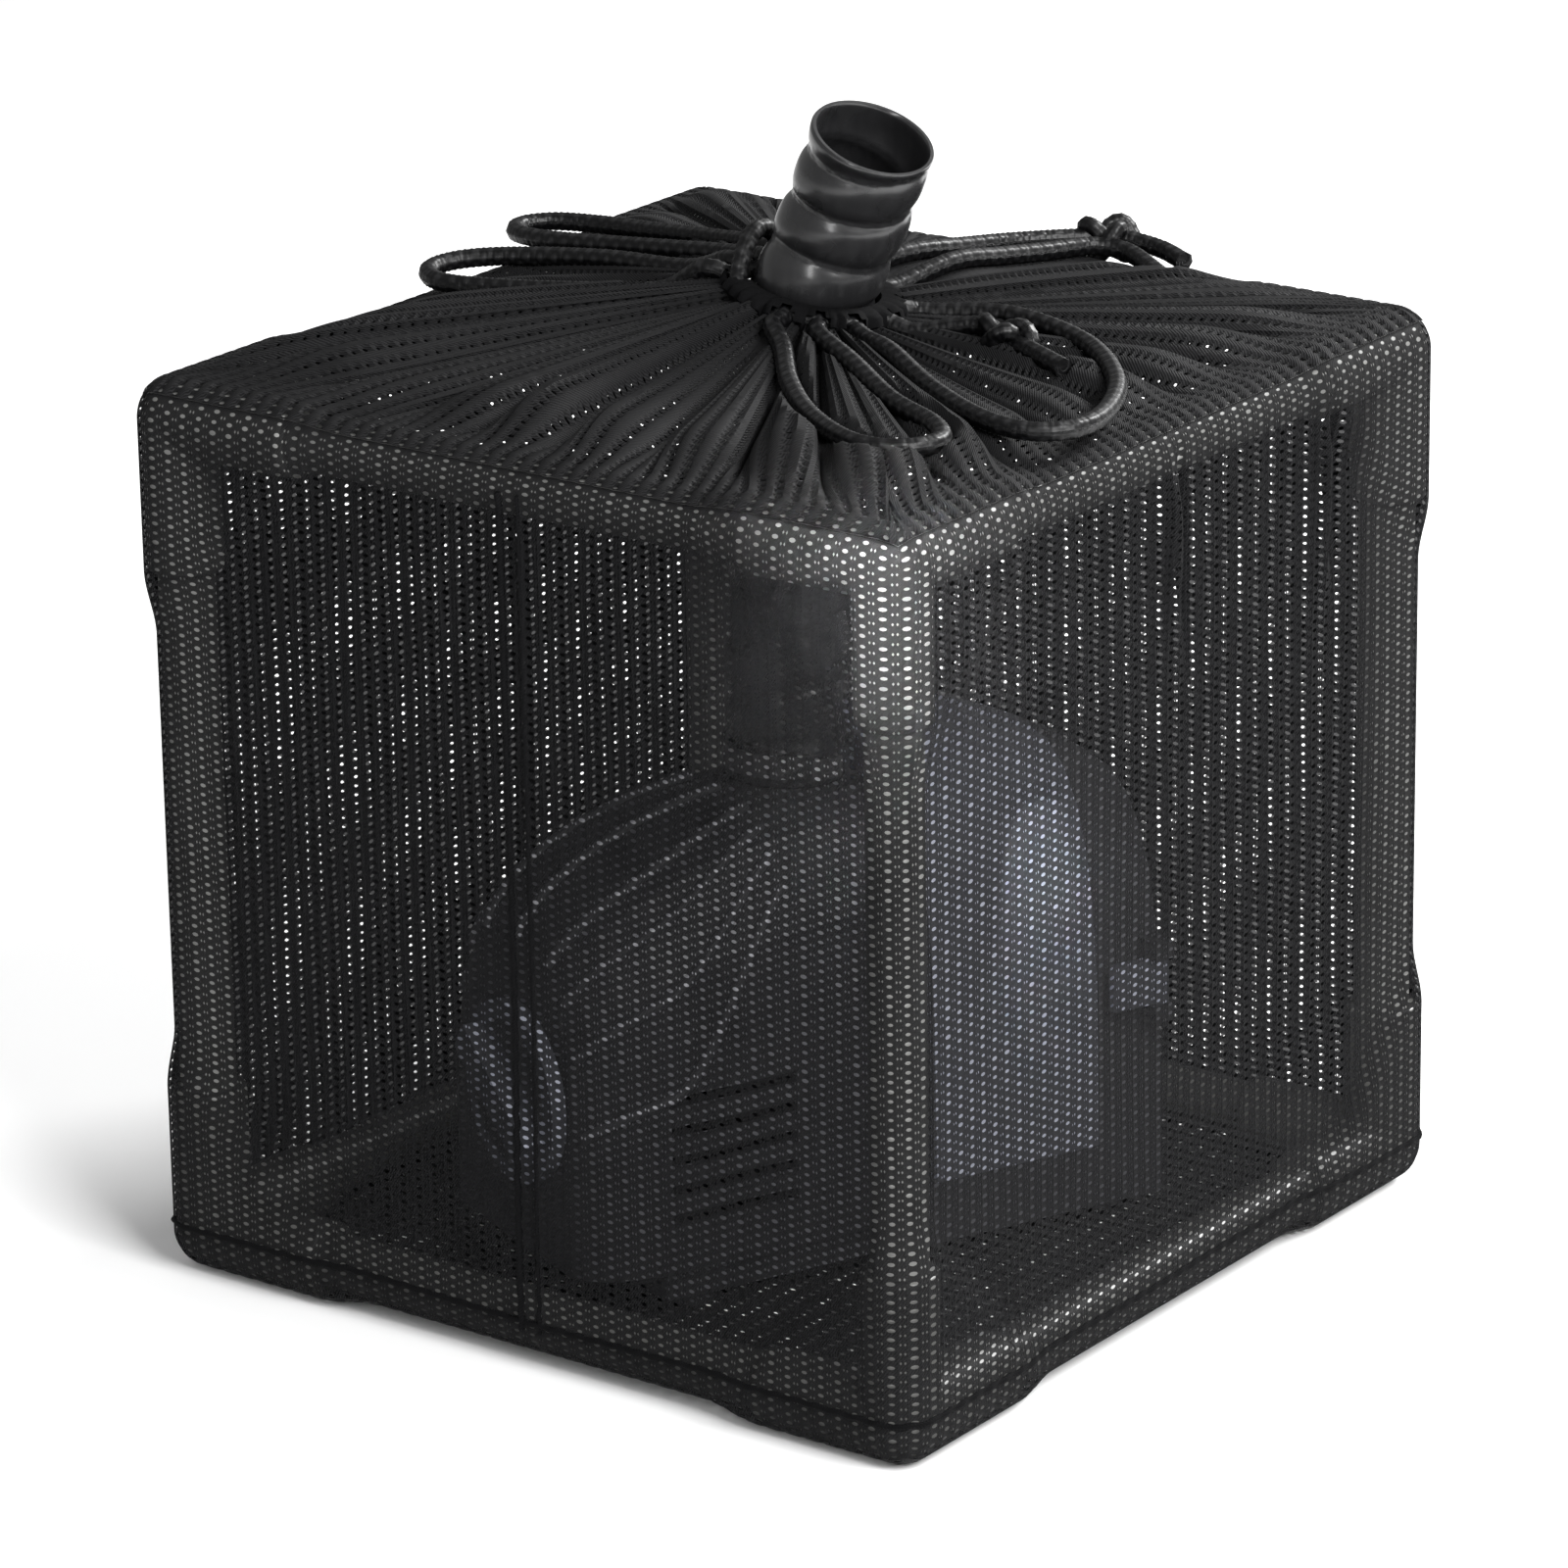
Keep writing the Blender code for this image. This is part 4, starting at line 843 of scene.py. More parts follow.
class MeshBag:
    """The knit bag: a tube of cloth over the cage, gathered round the hose."""

    OUT = np.array(((0, -1, 0), (1, 0, 0), (0, 1, 0), (-1, 0, 0)), dtype=float)
    ALONG = np.array(((1, 0, 0), (0, 1, 0), (-1, 0, 0), (0, -1, 0)), dtype=float)
    SIDES = ("front", "right", "back", "left")
    CREASES = {1: (0.50, 0.79)}
    HEM = ((0.0328, 0.0036, 0.0026), (0.0318, 0.0068, 0.0022), (0.0290, 0.0082, 0.0016), (0.0264, 0.0086, 0.0008),
           (0.0244, 0.0086, 0.0002), (0.0240, 0.0050, 0.0), (0.0240, -0.0040, 0.0))

    def __init__(self, sizes: BagSizes, cage: Cage, cords: Drawcords) -> None:
        """Keep the sizes and what the cloth lies on.

        Args:
            sizes: the bag's sizes.
            cage: the cage under it.
            cords: the cords on it.
        """
        self.sizes = sizes
        self.cage = cage
        self.cords = cords
        self.rng = np.random.default_rng(SEED)
        waves = self.rng.uniform(-1, 1, (3, 7))
        self.phase_waves = waves[0] * 1.1 / np.arange(1, 8) ** 0.5
        self.phase_turns = waves[1] * math.pi
        self.height_waves = waves[2] * 0.30

    def stand_off(self, a: np.ndarray, b: np.ndarray) -> np.ndarray:
        """How far the cloth stands off the cage's axes.

        Args:
            a: place across the face.
            b: place up the face.

        Returns:
            The distance to the middle of the cloth.
        """
        s, half = self.sizes, self.cage.sizes.half
        gap = (half - np.abs(a)) + (half - np.abs(b))
        grip = ease((self.cage.sizes.fitting_arm + s.slack - gap) / s.slack)
        return s.on_pipe + (s.on_fitting - s.on_pipe) * grip + s.cloth / 2

    def across(self, share: np.ndarray) -> tuple[np.ndarray, np.ndarray]:
        """Where a place across a panel lies.

        Args:
            share: place across the panel, from 0 to 1.

        Returns:
            The place along the face, and the turn round its edge as a tangent.
        """
        s, half = self.sizes, self.cage.sizes.half
        arc = share * (2 * half + 2 * s.wrap) - s.wrap
        turn = np.clip((arc - 2 * half) / s.wrap, 0, 1) + np.clip(arc / s.wrap, -1, 0)
        return np.clip(arc, 0, 2 * half) - half, np.tan(turn * math.pi / 4)

    def wall_point(self, side: int, u: np.ndarray, v: np.ndarray) -> np.ndarray:
        """A point of a wall.

        Args:
            side: the wall's number.
            u: place across it, from 0 to 1.
            v: place up it, from 0 to 1.

        Returns:
            The points.
        """
        half = self.cage.sizes.half
        a, turn_a = self.across(u)
        b, turn_b = self.across(v)
        out, along, up = self.OUT[side], self.ALONG[side], np.array((0.0, 0.0, 1.0))
        way = unit(out + turn_a[..., None] * along + turn_b[..., None] * up)
        core = self.cage.centre + half * out + a[..., None] * along + b[..., None] * up
        return core + (self.stand_off(a, b) + self.wrinkle(side, u, v))[..., None] * way

    def wrinkle(self, side: int, u: np.ndarray, v: np.ndarray) -> np.ndarray:
        """Soft ripples in a wall, most of them under the gathered top.

        Args:
            side: the wall's number.
            u: place across it.
            v: place up it.

        Returns:
            How far the cloth stands out.
        """
        inside = ease(np.minimum(u, 1 - u) / 0.12) * ease(np.minimum(v, 1 - v) / 0.10)
        ripple = np.sin(math.tau * (4.3 * u + 0.6 * v + 0.31 * side)) * np.sin(math.tau * (1.3 * v + 0.2 * side))
        gathers = np.sin(math.tau * (9.7 * u + 0.17 * side + 0.4 * np.sin(5 * u))) * np.exp(-(1 - v) / 0.16)
        crease = np.zeros_like(u)
        for middle in self.CREASES.get(side, ()):
            off = u - middle - 0.05 * (1 - v)
            crease += 0.8 * np.exp(-((off + 0.020) / 0.012) ** 2) - np.exp(-(off / 0.009) ** 2)
        crease *= ease((v - 0.70) / 0.2)
        return inside * (0.0006 * ripple + 0.0008 * gathers + self.sizes.crease * crease)

    def pleat_wave(self, columns: np.ndarray) -> np.ndarray:
        """The height of the pleats round the bag: round crests with narrow hollows between.

        Args:
            columns: place round the bag, from 0 to 1.

        Returns:
            The height, from about -1 to 1.
        """
        phase = math.tau * self.sizes.pleats * columns
        height = np.ones_like(columns)
        for k, (wave, turn, tall) in enumerate(zip(self.phase_waves, self.phase_turns, self.height_waves), 2):
            phase = phase + wave * np.sin(math.tau * k * columns + turn)
            height = height + tall * np.cos(math.tau * (k + 3) * columns + turn)
        return height * (2 * np.abs(np.cos(phase / 2)) - 1)

    def top_point(self, columns: np.ndarray, rows: np.ndarray) -> np.ndarray:
        """A point of the gathered top, from the rails' outer side to the neck.

        Args:
            columns: place round the bag, from 0 to 1.
            rows: place from the edge to the neck, from 0 to 1.

        Returns:
            The points.
        """
        s, half = self.sizes, self.cage.sizes.half
        spot = (columns % 1.0) * 4
        side = np.minimum(spot.astype(int), 3)
        a, turn = self.across(spot - side)
        out, along, up = self.OUT[side], self.ALONG[side], np.array((0.0, 0.0, 1.0))
        edge_rows = 2.5 / s.top_rows
        tilt = np.tan(math.radians(45) * (1 - 0.82 * np.clip(rows / edge_rows, 0, 1)))
        way = unit(up + tilt[..., None] * (out + turn[..., None] * along))
        core = self.cage.centre + half * (up + out) + a[..., None] * along
        edge = core + self.stand_off(a, np.full_like(a, half))[..., None] * way
        share = np.clip((rows - edge_rows) / (1 - edge_rows), 0, 1)
        angle = np.arctan2(edge[..., 1], edge[..., 0])
        end = self.neck_point(angle, s.neck_radius, 0.0)
        point = edge + share[..., None] * (end - edge)
        front = 0.5 + 0.5 * np.cos(angle + math.radians(50))
        wave = self.pleat_wave(columns)
        tall = s.pleat * ease(share / 0.28) * (1 - 0.45 * share) * (0.75 + 0.75 * front)
        lift = 4 * share * (1 - share) * (0.0022 - 0.0036 * front) + 0.0012 * ease(share / 0.2) * (1 - share)
        point[..., 2] += tall * wave + lift
        around = np.stack([-np.sin(angle), np.cos(angle), np.zeros_like(angle)], axis=-1)
        far = np.linalg.norm(point[..., :2] - end[..., :2], axis=-1) + s.neck_radius
        sway = 0.16 * far * math.tau / s.pleats * np.sin(math.tau * s.pleats * columns)
        return point + (ease(share / 0.3) * (1 - share) * sway)[..., None] * around

    def neck_point(self, angle: np.ndarray, radius: np.ndarray | float, height: np.ndarray | float) -> np.ndarray:
        """A point round the neck.

        Args:
            angle: the direction from the neck's axis.
            radius: the distance from it.
            height: the height above the neck's middle.

        Returns:
            The points.
        """
        local = np.stack(np.broadcast_arrays(radius * np.cos(angle), radius * np.sin(angle), height), axis=-1)
        m = np.array(self.cords.neck_frame)
        return local @ m[:3, :3].T + m[:3, 3]

    def carry(self, points: np.ndarray) -> np.ndarray:
        """Raise the cloth in a fold under each cord, and press it down where a cord lies on it.

        Args:
            points: points of the cloth.

        Returns:
            The points, none of them inside a cord.
        """
        s = self.sizes
        radius = self.cords.sizes.diameter / 2 + s.cloth / 2
        out = points.copy()
        for path in self.cords.paths.values():
            line = path[::4]
            low, high = line.min(0) - s.fold_reach, line.max(0) + s.fold_reach
            near = np.flatnonzero(((out[:, :2] > low[:2]) & (out[:, :2] < high[:2])).all(1))
            for part in np.array_split(near, max(1, len(near) // 4000)):
                gap = np.linalg.norm(out[part, None, :2] - line[None, :, :2], axis=2)
                fold = (line[None, :, 2] - radius - s.fold_slope * np.maximum(gap - radius, 0)).max(1)
                raised = np.maximum(out[part, 2], fold)
                inside = (self.cage.sizes.half - np.abs(out[part, :2]).max(1)) / s.fold_reach
                share = ease((s.fold_reach - gap.min(1)) / (0.5 * s.fold_reach)) * ease(inside)
                raised = out[part, 2] + share * (raised - out[part, 2])
                drop = np.sqrt(np.maximum(radius ** 2 - gap ** 2, 0))
                limit = np.where(gap < radius, line[None, :, 2] - drop, line[None, :, 2] + (gap - radius) * 1.1)
                out[part, 2] = np.minimum(raised, limit.min(1))
        half = self.cage.sizes.half
        for across, along in ((0, 1), (1, 0)):
            off = np.abs(np.abs(out[:, across]) - half)
            reach = self.stand_off(np.clip(out[:, along], -half, half), np.full(len(out), half))
            rail = self.cage.centre[2] + half + np.sqrt(np.maximum(reach ** 2 - off ** 2, 0))
            inside = (off < reach) & (np.abs(out[:, :2]).max(1) < half)
            out[:, 2] = np.where(inside, np.maximum(out[:, 2], rail), out[:, 2])
        return out

    def knit(self, name: str, shape: Callable[[np.ndarray, np.ndarray], np.ndarray], columns: int, rows: int,
             size: tuple[float, float], crest: float, fine: bool, node: str, open_up: Callable | None = None,
             finish_points: Callable | None = None) -> bpy.types.Object:
        """Knit a panel: a column of oval holes, then two columns of pinholes, and so on.

        Args:
            name: the piece's name.
            shape: gives the points for places across and up the panel, from 0 to 1.
            columns: columns of oval holes.
            rows: rows of holes.
            size: the panel's width and height, for the yarn's direction on it.
            crest: how far the ridges between the columns stand up.
            fine: True to cut the pinholes too.
            node: the solid that the panel replaces.
            open_up: gives the holes' size at places on the panel, 1 as usual.
            finish_points: a last change to the points.

        Returns:
            The panel.
        """
        s, n, m = self.sizes, columns, rows
        first, second = s.oval_end, s.pin_line
        col, half_row = np.meshgrid(np.arange(n + 1), np.arange(2 * m + 1) / 2, indexing="ij")
        lines = [(col, half_row, crest), (col[:n] + first, half_row[:n], crest),
                 (col[:n] + second, half_row[:n], crest * 0.6)]
        col_mid, row_mid = np.meshgrid(np.arange(n) + first / 2, np.arange(m + 1.0), indexing="ij")
        lines.append((col_mid, row_mid, crest * 0.4))
        turn = np.radians((225, 270, 315, 0, 45, 90, 135, 180))
        cell_x, cell_y, k = np.meshgrid(np.arange(n), np.arange(m), np.arange(8), indexing="ij")
        jitter = self.rng.normal(0, 1, (3, n, m))[..., None]
        grow = 1 + 0.10 * jitter[0]
        if open_up is not None:
            grow = grow * open_up((cell_x[..., :1] + first / 2) / n, (cell_y[..., :1] + 0.5) / m)
        x = cell_x + first / 2 + 0.012 * jitter[1] + 0.5 * s.hole_wide * grow * np.cos(turn)[k]
        y = cell_y + 0.5 + 0.02 * jitter[2] + 0.5 * s.hole_high * grow * np.sin(turn)[k]
        lines.append((x, y, -0.4 * crest))
        pins = []
        if fine:
            for middle in ((first + second) / 2, (1 + second) / 2):
                px, py, k = np.meshgrid(np.arange(n), np.arange(m - 1), np.arange(4), indexing="ij")
                spin = np.radians((270, 0, 90, 180))[k]
                pins.append(sum(line[0].size for line in lines))
                lines.append((px + middle + s.pin_wide * np.cos(spin), py + 1 + s.pin_high * np.sin(spin),
                              -0.4 * crest))
        base = np.concatenate([[0], np.cumsum([line[0].size for line in lines])])
        u = np.concatenate([line[0].ravel() for line in lines]) / n
        v = np.concatenate([line[1].ravel() for line in lines]) / m
        rise = np.concatenate([np.full(line[0].size, line[2]) for line in lines])
        points = shape(u, v)
        step = 1e-3
        run_u = shape(np.minimum(u + step, 1), v) - shape(np.maximum(u - step, 0), v)
        run_v = shape(u, np.minimum(v + step, 1)) - shape(u, np.maximum(v - step, 0))
        points = points + rise[:, None] * unit(np.cross(run_u, run_v))
        if finish_points is not None:
            points = finish_points(points)

        def line_at(which: int, i: np.ndarray, half: np.ndarray) -> np.ndarray:
            """Number the vertices on a line between two columns.

            Args:
                which: 0 for the line before the ovals, 1 and 2 for the lines after them.
                i: the column.
                half: the place up it, in half rows.

            Returns:
                The vertex numbers.
            """
            return base[which] + i * (2 * m + 1) + half

        i, j = np.meshgrid(np.arange(n), np.arange(m), indexing="ij")
        mid = base[3] + i * (m + 1) + j
        ring = [line_at(0, i, 2 * j), mid, line_at(1, i, 2 * j), line_at(1, i, 2 * j + 1),
                line_at(1, i, 2 * j + 2), mid + 1, line_at(0, i, 2 * j + 2), line_at(0, i, 2 * j + 1)]
        hole = base[4] + (i * m + j) * 8
        quads = [np.stack([ring[k], ring[(k + 1) % 8], hole + (k + 1) % 8, hole + k], axis=-1).reshape(-1, 4)
                 for k in range(8)]
        tris = []
        if fine:
            for strip, start in enumerate(pins):
                i, j = np.meshgrid(np.arange(n), np.arange(m - 1), indexing="ij")

                def left(h: np.ndarray) -> np.ndarray:
                    """Number the strip's left line.

                    Args:
                        h: the place up it, in half rows.

                    Returns:
                        The vertex numbers.
                    """
                    return line_at(1 + strip, i, h)

                def right(h: np.ndarray) -> np.ndarray:
                    """Number the strip's right line.

                    Args:
                        h: the place up it, in half rows.

                    Returns:
                        The vertex numbers.
                    """
                    return line_at(2, i, h) if strip == 0 else line_at(0, i + 1, h)

                pin = start + (i * (m - 1) + j) * 4
                k = 2 * j + 1
                around = ((right(k), right(k + 1), pin + 1, pin), (right(k + 1), right(k + 2), pin + 2, pin + 1),
                          (left(k + 2), left(k + 1), pin + 3, pin + 2), (left(k + 1), left(k), pin, pin + 3))
                for a, b, c, d in around:
                    quads.append(np.stack([a, b, c, d], axis=-1).reshape(-1, 4))
                tris.append(np.stack([left(k), right(k), pin], axis=-1).reshape(-1, 3))
                tris.append(np.stack([right(k + 2), left(k + 2), pin + 2], axis=-1).reshape(-1, 3))
                i = np.arange(n)
                for h in (np.zeros(n, dtype=int), np.full(n, 2 * m - 1)):
                    quads.append(np.stack([left(h), right(h), right(h + 1), left(h + 1)], axis=-1))
        else:
            i, h = np.meshgrid(np.arange(n), np.arange(2 * m), indexing="ij")
            quads.append(np.stack([line_at(1, i, h), line_at(0, i + 1, h), line_at(0, i + 1, h + 1),
                                   line_at(1, i, h + 1)], axis=-1).reshape(-1, 4))
        uv = np.stack([u * size[0], v * size[1]], axis=-1)
        faces = [np.vstack(quads)]
        if tris:
            faces.append(np.vstack(tris))
        used = np.zeros(len(points), dtype=bool)
        for f in faces:
            used[f.ravel()] = True
        renumber = np.cumsum(used) - 1
        panel = add_piece(name, points[used], [renumber[f] for f in faces], SHEER if fine else KNIT, uv=uv[used],
                          stands_for=[node])
        panel.visible_shadow = not fine
        return panel

    def declare(self, panel: bpy.types.Object, flat: tuple[float, float]) -> None:
        """Log a panel's flat size, as cut before it was pulled over the cage.

        Args:
            panel: the panel.
            flat: its width and height before it was pulled over the cage.
        """
        LOG.info("%s is cut to %.0f x %.0f mm", panel.name, flat[0] / MM, flat[1] / MM)

    def build(self) -> int:
        """Add the walls, the top, the base, the gathered neck and the seams.

        Returns:
            How many pieces were added.
        """
        s = self.sizes
        tall = 2 * self.cage.sizes.half + 2 * s.wrap
        tops = [f"top_rail_{name}" for name in self.SIDES]
        feet = [f"bottom_rail_{name}" for name in self.SIDES]
        walls = []
        for side, name in enumerate(self.SIDES):
            walls.append(self.knit(f"knit_wall_{name}", lambda u, v, side=side: self.wall_point(side, u, v),
                                   s.columns, s.rows, (tall, tall), s.crest, side < 2, f"bag_wall_{name}",
                                   lambda u, v: 1 + 0.06 * np.exp(-(np.minimum(u, 1 - u) / 0.07) ** 2)))
        top = self.knit("knit_top", self.top_point, 4 * s.columns, s.top_rows, (4 * tall, s.top_run), s.top_crest,
                        False, "bag_top", lambda u, v: 0.78 - 0.25 * v + 0.25 * np.exp(-(v / 0.15) ** 2), self.carry)
        base = self.knit("knit_base", self.base_point, s.base_cells, s.base_cells * 2, (tall, tall), s.crest, False,
                         "bag_base")
        neck = self.add_neck()
        seams = self.add_seams()
        for panel, high, low in zip(walls, tops, feet):
            self.declare(panel, (tall, tall))
        self.declare(top, (4 * tall, s.top_run))
        self.declare(base, (tall, tall))
        return len(walls) + len(seams) + 3

    def base_point(self, u: np.ndarray, v: np.ndarray) -> np.ndarray:
        """A point of the base.

        Args:
            u: place across it.
            v: place along it.

        Returns:
            The points.
        """
        s, half = self.sizes, self.cage.sizes.half
        a, turn_a = self.across(u)
        b, turn_b = self.across(v)
        flat = ease(np.minimum(half - np.abs(a), half - np.abs(b)) / s.base_rise)
        off = np.maximum(self.stand_off(a, b), s.on_pipe + (s.on_fitting - s.on_pipe) * flat + s.cloth / 2)
        x, y, down = np.array((1.0, 0, 0)), np.array((0, -1.0, 0)), np.array((0, 0, -1.0))
        way = unit(down + turn_a[..., None] * x + turn_b[..., None] * y)
        core = self.cage.centre + half * down + a[..., None] * x + b[..., None] * y
        return core + off[..., None] * way

    def add_neck(self) -> bpy.types.Object:
        """Add the hem that the drawcord runs in, pleated round the hose and open where a cord comes out.

        Returns:
            The hem.
        """
        s, cord = self.sizes, self.cords.sizes
        columns = np.linspace(0, 1, 481)[:-1]
        spot = columns * 4
        side = np.minimum(spot.astype(int), 3)
        a, _ = self.across(spot - side)
        corner = self.cage.sizes.half * self.OUT[side] + a[:, None] * self.ALONG[side]
        angle = np.unwrap(np.arctan2(corner[:, 1], corner[:, 0]))
        wave = 0.5 + 0.5 * np.clip(self.pleat_wave(columns), -1, 1)
        rows = [self.top_point(columns, np.ones_like(columns))]
        for radius, height, fold in self.HEM:
            rows.append(self.neck_point(angle, radius + fold * wave, height + 0.5 * fold * wave))
        grid = np.stack(rows)
        count, wide = grid.shape[:2]
        quads = ring_quads(count, wide, False)
        points = grid.reshape(-1, 3)
        middle = points[quads].mean(1)
        keep = np.ones(len(quads), dtype=bool)
        ends = [np.vstack([path[:12], path[-12:]]) for path in self.cords.paths.values()]
        for line in (*ends, self.cords.bight):
            gap = np.linalg.norm(middle[:, None] - line[None], axis=2).min(1)
            keep &= gap > cord.diameter / 2 + 2 * s.cloth
        uv = np.stack(np.broadcast_arrays(columns[None] * 1.2, np.arange(count)[:, None] * 0.003), axis=-1)
        return add_piece("knit_neck", points, [quads[keep]], SEAM, uv=uv.reshape(-1, 2), stands_for=["neck_collar"])

    def add_seams(self) -> list[bpy.types.Object]:
        """Add the overlocked seam round the foot and the upright seam of the front wall.

        Returns:
            The seams.
        """
        s = self.sizes
        loop = []
        for side in range(4):
            u = np.linspace(0, 1, 260, endpoint=False)
            loop.append(self.wall_point(side, u, np.full_like(u, s.foot_seam_at) + 0.002 * np.sin(9 * u + side)))
        v = np.linspace(0.03, 0.97, 260)
        runs = [("foot_seam", np.vstack(loop), s.foot_seam)]
        for name, u0, radius in (("upright_seam", 0.492, 0.0012), ("upright_hem", 0.517, 0.0008)):
            runs.append((name, self.wall_point(0, u0 + 0.004 * np.sin(3 * v), v), radius))
        angle = np.arange(s.seam_sides)[None] * math.tau / s.seam_sides
        seams = []
        for name, path, radius in runs:
            turns = np.arange(len(path))[:, None] * 0.9
            thread = radius * (1 + s.seam_relief * np.cos(angle + turns))
            points, faces, uv = sweep(path, thread, s.seam_sides, closed=name == "foot_seam")
            seams.append(add_piece(name, points, faces, SEAM, uv=uv))
        return seams


@dataclass(frozen=True)
class PumpSizes:
    """Sizes of the pump that its dressing follows, in metres, in the pump's own frame."""

    at: tuple = (-0.0016, -0.0037, 0.0)
    turn: float = math.radians(66)
    front: float = -0.121
    half_width: float = 0.062
    front_half_width: float = 0.042
    top: float = 0.185
    front_top: float = 0.125
    foot: float = 0.020
    arch_power: float = 3.2
    rib: float = 0.0022
    ribs: int = 9
    rib_margin: float = 0.30
    rim: float = 0.0018
    rim_at: float = 0.0185
    rim_clear: float = 0.031
    knob: tuple = (-0.1213, -0.010, 0.084)
    knob_depth: float = 0.006
    knob_radius: float = 0.035
    grip_turn: float = math.radians(35)


class Pump:
    """The pump inside the bag: finishes on its solids, and the ribs and recesses they lack."""

    FINISHES = {
        "base_tray": DARK, "intake_shell": DARK, "rear_frame": DARK, "cable_gland": DARK, "volute": DARK,
        "volute_cover": DARK, "hose_tail": DARK, "motor_cover": GREY, "latch_near": GREY, "latch_far": GREY,
        "regulator_knob": GREY, "impeller": GREY, "hose_clip": STEEL, "latch_near_pin": STEEL,
        "latch_far_pin": STEEL, "front_bush": RUBBER, "rear_bush": RUBBER, "o_ring": RUBBER, "shaft": CERAMIC,
        "rotor_magnet": FERRITE, "motor_block": RESIN,
    }

    def __init__(self, sizes: PumpSizes) -> None:
        """Keep the sizes.

        Args:
            sizes: the pump's sizes.
        """
        self.sizes = sizes
        self.matrix = np.array(Matrix.Translation(sizes.at) @ Matrix.Rotation(sizes.turn, 4, 'Z'))

    def place(self, points: np.ndarray) -> np.ndarray:
        """Move points from the pump's frame to the object's.

        Args:
            points: points in the pump's frame.

        Returns:
            The moved points.
        """
        return points @ self.matrix[:3, :3].T + self.matrix[:3, 3]

    def shell_point(self, x: np.ndarray, turn: np.ndarray) -> np.ndarray:
        """A point on the intake shell.

        Args:
            x: place along the pump.
            turn: place over the arch, from 0 on the far side to pi on the near side.

        Returns:
            The points, in the pump's frame.
        """
        s = self.sizes
        top = s.front_top + (s.top - s.front_top) * np.sqrt(1 - np.minimum(0, x / -s.front) ** 2)
        drawn = s.half_width - s.front_half_width
        share = np.clip((s.front + 2 * drawn - x) / (2 * drawn), 0, 1)
        wide = s.front_half_width + drawn * np.sqrt(1 - share ** 2)
        power = 2 / s.arch_power
        across = np.sign(np.cos(turn)) * np.abs(np.cos(turn)) ** power
        up = np.maximum(np.sin(turn), 0) ** power
        return np.stack([x, wide * across, s.foot + (top - s.foot) * up], axis=-1)

    def build(self) -> int:
        """Finish the solids and add the ribs, the rim and the knob's recesses.

        Returns:
            How many pieces were added.
        """
        for name, finish in self.FINISHES.items():
            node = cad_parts[name]
            node.data.materials.clear()
            node.data.materials.append(PAINT.get(finish))
        s, ribs = self.sizes, []
        for turn in np.linspace(s.rib_margin, math.pi - s.rib_margin, s.ribs):
            x = np.linspace(s.front + 0.004, -0.030, 40)
            path = self.shell_point(x, turn + (math.pi / 2 - turn) * 0.55 * ease((x + 0.085) / 0.075))
            ribs.append(sweep(self.place(path), s.rib, 10))
        points, faces, uv = join(ribs)
        # The ribs take the paler plastic: painted highlight on their crests
        add_piece("shell_ribs", points, faces, RIB_PAINTED_HIGHLIGHT, uv=uv)
        turn = np.linspace(0.06, math.pi - 0.06, 90)
        rim = self.shell_point(np.full_like(turn, s.rim_at), turn)
        rim = rim[np.hypot(rim[:, 0], rim[:, 1]) > s.rim_clear]
        for name, part in (("shell_rim_far", rim[rim[:, 1] > 0]), ("shell_rim_near", rim[rim[:, 1] < 0])):
            points, faces, uv = sweep(self.place(part), s.rim, 10)
            add_piece(name, points, faces, GREY, uv=uv)
        self.add_recesses()
        return 4

    def add_recesses(self) -> None:
        """Add the two dark half-moon recesses beside the knob's grip."""
        s = self.sizes
        parts = []
        for side in (-1, 1):
            half = math.radians(58)
            turn = np.linspace(-half, half, 30)
            radius = s.knob_radius * 0.80
            arc = np.stack([radius * np.sin(turn), side * radius * np.cos(turn)], axis=-1)
            chord = np.stack([radius * np.sin(turn) * 0.98, np.full_like(turn, side * 0.012)], axis=-1)
            flat = np.concatenate([arc, chord[::-1]])
            c, sn = math.cos(s.grip_turn), math.sin(s.grip_turn)
            flat = flat @ np.array(((c, sn), (-sn, c)))
            face = np.array(s.knob) + np.concatenate(
                [np.full((len(flat), 1), -s.knob_depth - 0.0003), flat], axis=1)
            count = len(turn)
            quads = np.array([(i, i + 1, 2 * count - 2 - i, 2 * count - 1 - i) for i in range(count - 1)])
            parts.append((self.place(face), [quads], flat))
        points, faces, uv = join(parts)
        add_piece("knob_recesses", points, faces, DARK, body=Body.REGULATOR, uv=uv)


@dataclass(frozen=True)
class StudioSizes:
    """The camera that matches the photograph, and the studio round it."""

    lens: float = 168.7
    sensor: float = 36.0
    azimuth: float = 36.51
    elevation: float = 19.23
    distance: float = 2.7702
    target: tuple = (0.0, 0.0, 0.175)
    roll: float = 0.892
    shift: tuple = (-0.00875, 0.0047)
    floor: float = 14.0
    world: float = 0.28


@dataclass(frozen=True)
class Lamp:
    """A soft lamp of the studio: sizes in metres, power in watts, spread in degrees."""

    name: str
    at: tuple
    aim: tuple
    size: tuple
    watts: float
    spread: float = 180.0


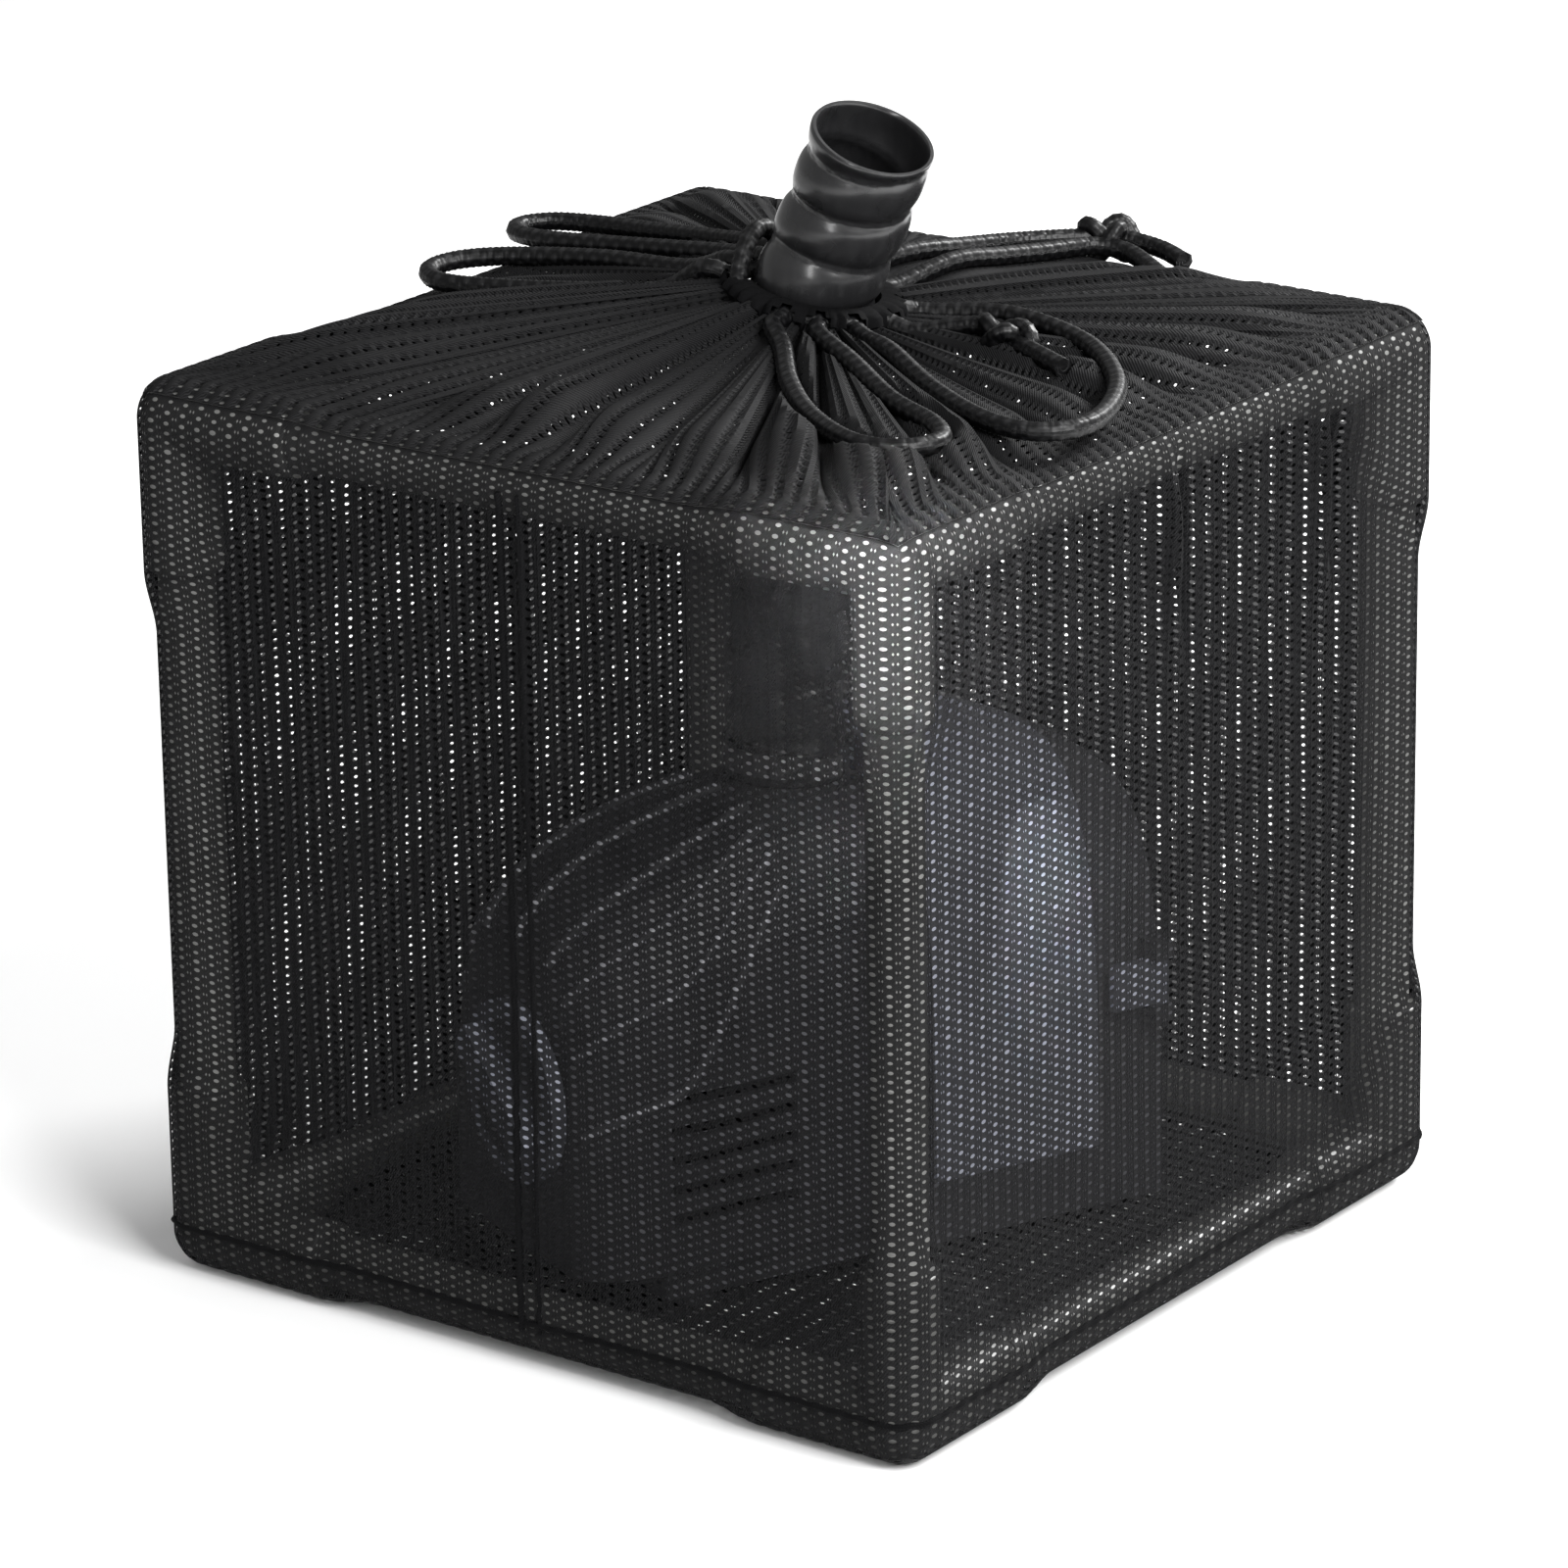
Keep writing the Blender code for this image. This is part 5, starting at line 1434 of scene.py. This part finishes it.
class Studio:
    """A pale floor, soft light and the photograph's camera."""

    LAMPS = (
        Lamp("key_right", (2.2, -0.6, 1.9), (0.0, 0.0, 0.175), (1.6, 1.6), 132.0),
        Lamp("strip_front", (0.65, -2.7, 1.5), (0.0, 0.0, 0.175), (0.35, 2.2), 26.0),
        Lamp("top_back", (0.5, 2.2, 1.7), (0.0, 0.0, 0.175), (1.0, 1.0), 100.0),
        Lamp("beam_corner", (0.9, -1.5, 1.5), (0.160, -0.160, 0.315), (0.05, 0.05), 0.14, 4.0),
    )

    def __init__(self, sizes: StudioSizes) -> None:
        """Keep the sizes.

        Args:
            sizes: the studio's sizes.
        """
        self.sizes = sizes

    def build(self) -> None:
        """Add the floor, the light and the camera."""
        scene = bpy.context.scene
        scene.view_settings.view_transform = 'Standard'
        self.add_world(scene)
        self.add_floor()
        target = Vector(self.sizes.target)
        for lamp in self.LAMPS:
            light = bpy.data.lights.new(lamp.name, 'AREA')
            light.shape = 'RECTANGLE'
            light.size, light.size_y = lamp.size
            light.energy = lamp.watts
            light.spread = math.radians(lamp.spread)
            obj = bpy.data.objects.new(lamp.name, light)
            obj.location = lamp.at
            obj.rotation_euler = (Vector(lamp.aim) - Vector(lamp.at)).to_track_quat('-Z', 'Y').to_euler()
            scene.collection.objects.link(obj)
        self.add_camera(scene, target)

    def add_world(self, scene: bpy.types.Scene) -> None:
        """Add a white surround.

        Args:
            scene: the scene.
        """
        world = bpy.data.worlds.new("white_studio")
        world.use_nodes = True
        tree = world.node_tree
        background = tree.nodes["Background"]
        ray = add_node(tree, "LightPath")
        strength = add_node(tree, "MapRange", {"Value": ray.outputs["Is Camera Ray"], "To Min": self.sizes.world,
                                               "To Max": 1.0})
        tree.links.new(strength.outputs["Result"], background.inputs["Strength"])
        background.inputs["Color"].default_value = to_linear("#ffffff")
        scene.world = world

    def add_floor(self) -> None:
        """Add the plain pale floor."""
        half = self.sizes.floor / 2
        mesh = bpy.data.meshes.new("floor")
        mesh.from_pydata([(-half, -half, 0), (half, -half, 0), (half, half, 0), (-half, half, 0)], [], [(0, 1, 2, 3)])
        material = bpy.data.materials.new("paper_backdrop_matt")
        material.use_nodes = True
        shader = material.node_tree.nodes["Principled BSDF"]
        shader.inputs["Base Color"].default_value = to_linear("#fbfbfb")
        shader.inputs["Roughness"].default_value = 0.9
        shader.inputs["Specular IOR Level"].default_value = 0.1
        mesh.materials.append(material)
        floor = bpy.data.objects.new("floor", mesh)
        bpy.context.scene.collection.objects.link(floor)

    def add_camera(self, scene: bpy.types.Scene, target: Vector) -> None:
        """Add the photograph's camera.

        Args:
            scene: the scene.
            target: the point that it looks at.
        """
        s = self.sizes
        data = bpy.data.cameras.new("photo_camera")
        data.lens = s.lens
        data.sensor_width = s.sensor
        data.shift_x, data.shift_y = s.shift
        camera = bpy.data.objects.new("photo_camera", data)
        a, e = math.radians(s.azimuth), math.radians(s.elevation)
        back = Vector((math.sin(a) * math.cos(e), -math.cos(a) * math.cos(e), math.sin(e)))
        camera.location = target + back * s.distance
        look = (-back).to_track_quat('-Z', 'Y').to_matrix()
        roll = Matrix.Rotation(-math.radians(s.roll), 3, 'Z')
        camera.rotation_euler = (look @ roll).to_euler()
        data.clip_end = 60.0
        scene.collection.objects.link(camera)
        scene.camera = camera


def main() -> None:
    """Build the sub-assemblies in order and report them."""
    logging.basicConfig(level=logging.INFO, format="%(name)s: %(message)s")
    cage = Cage(CageSizes())
    hose = RibbedHose(HoseSizes())
    cords = Drawcords(CordSizes(), hose.neck_frame)
    bag = MeshBag(BagSizes(), cage, cords)
    for name, part in (("cage", cage), ("hose", hose), ("cords", cords), ("bag", bag), ("pump", Pump(PumpSizes()))):
        LOG.info("%s: %d pieces", name, part.build())
    Studio(StudioSizes()).build()


if __name__ == "__main__":
    main()
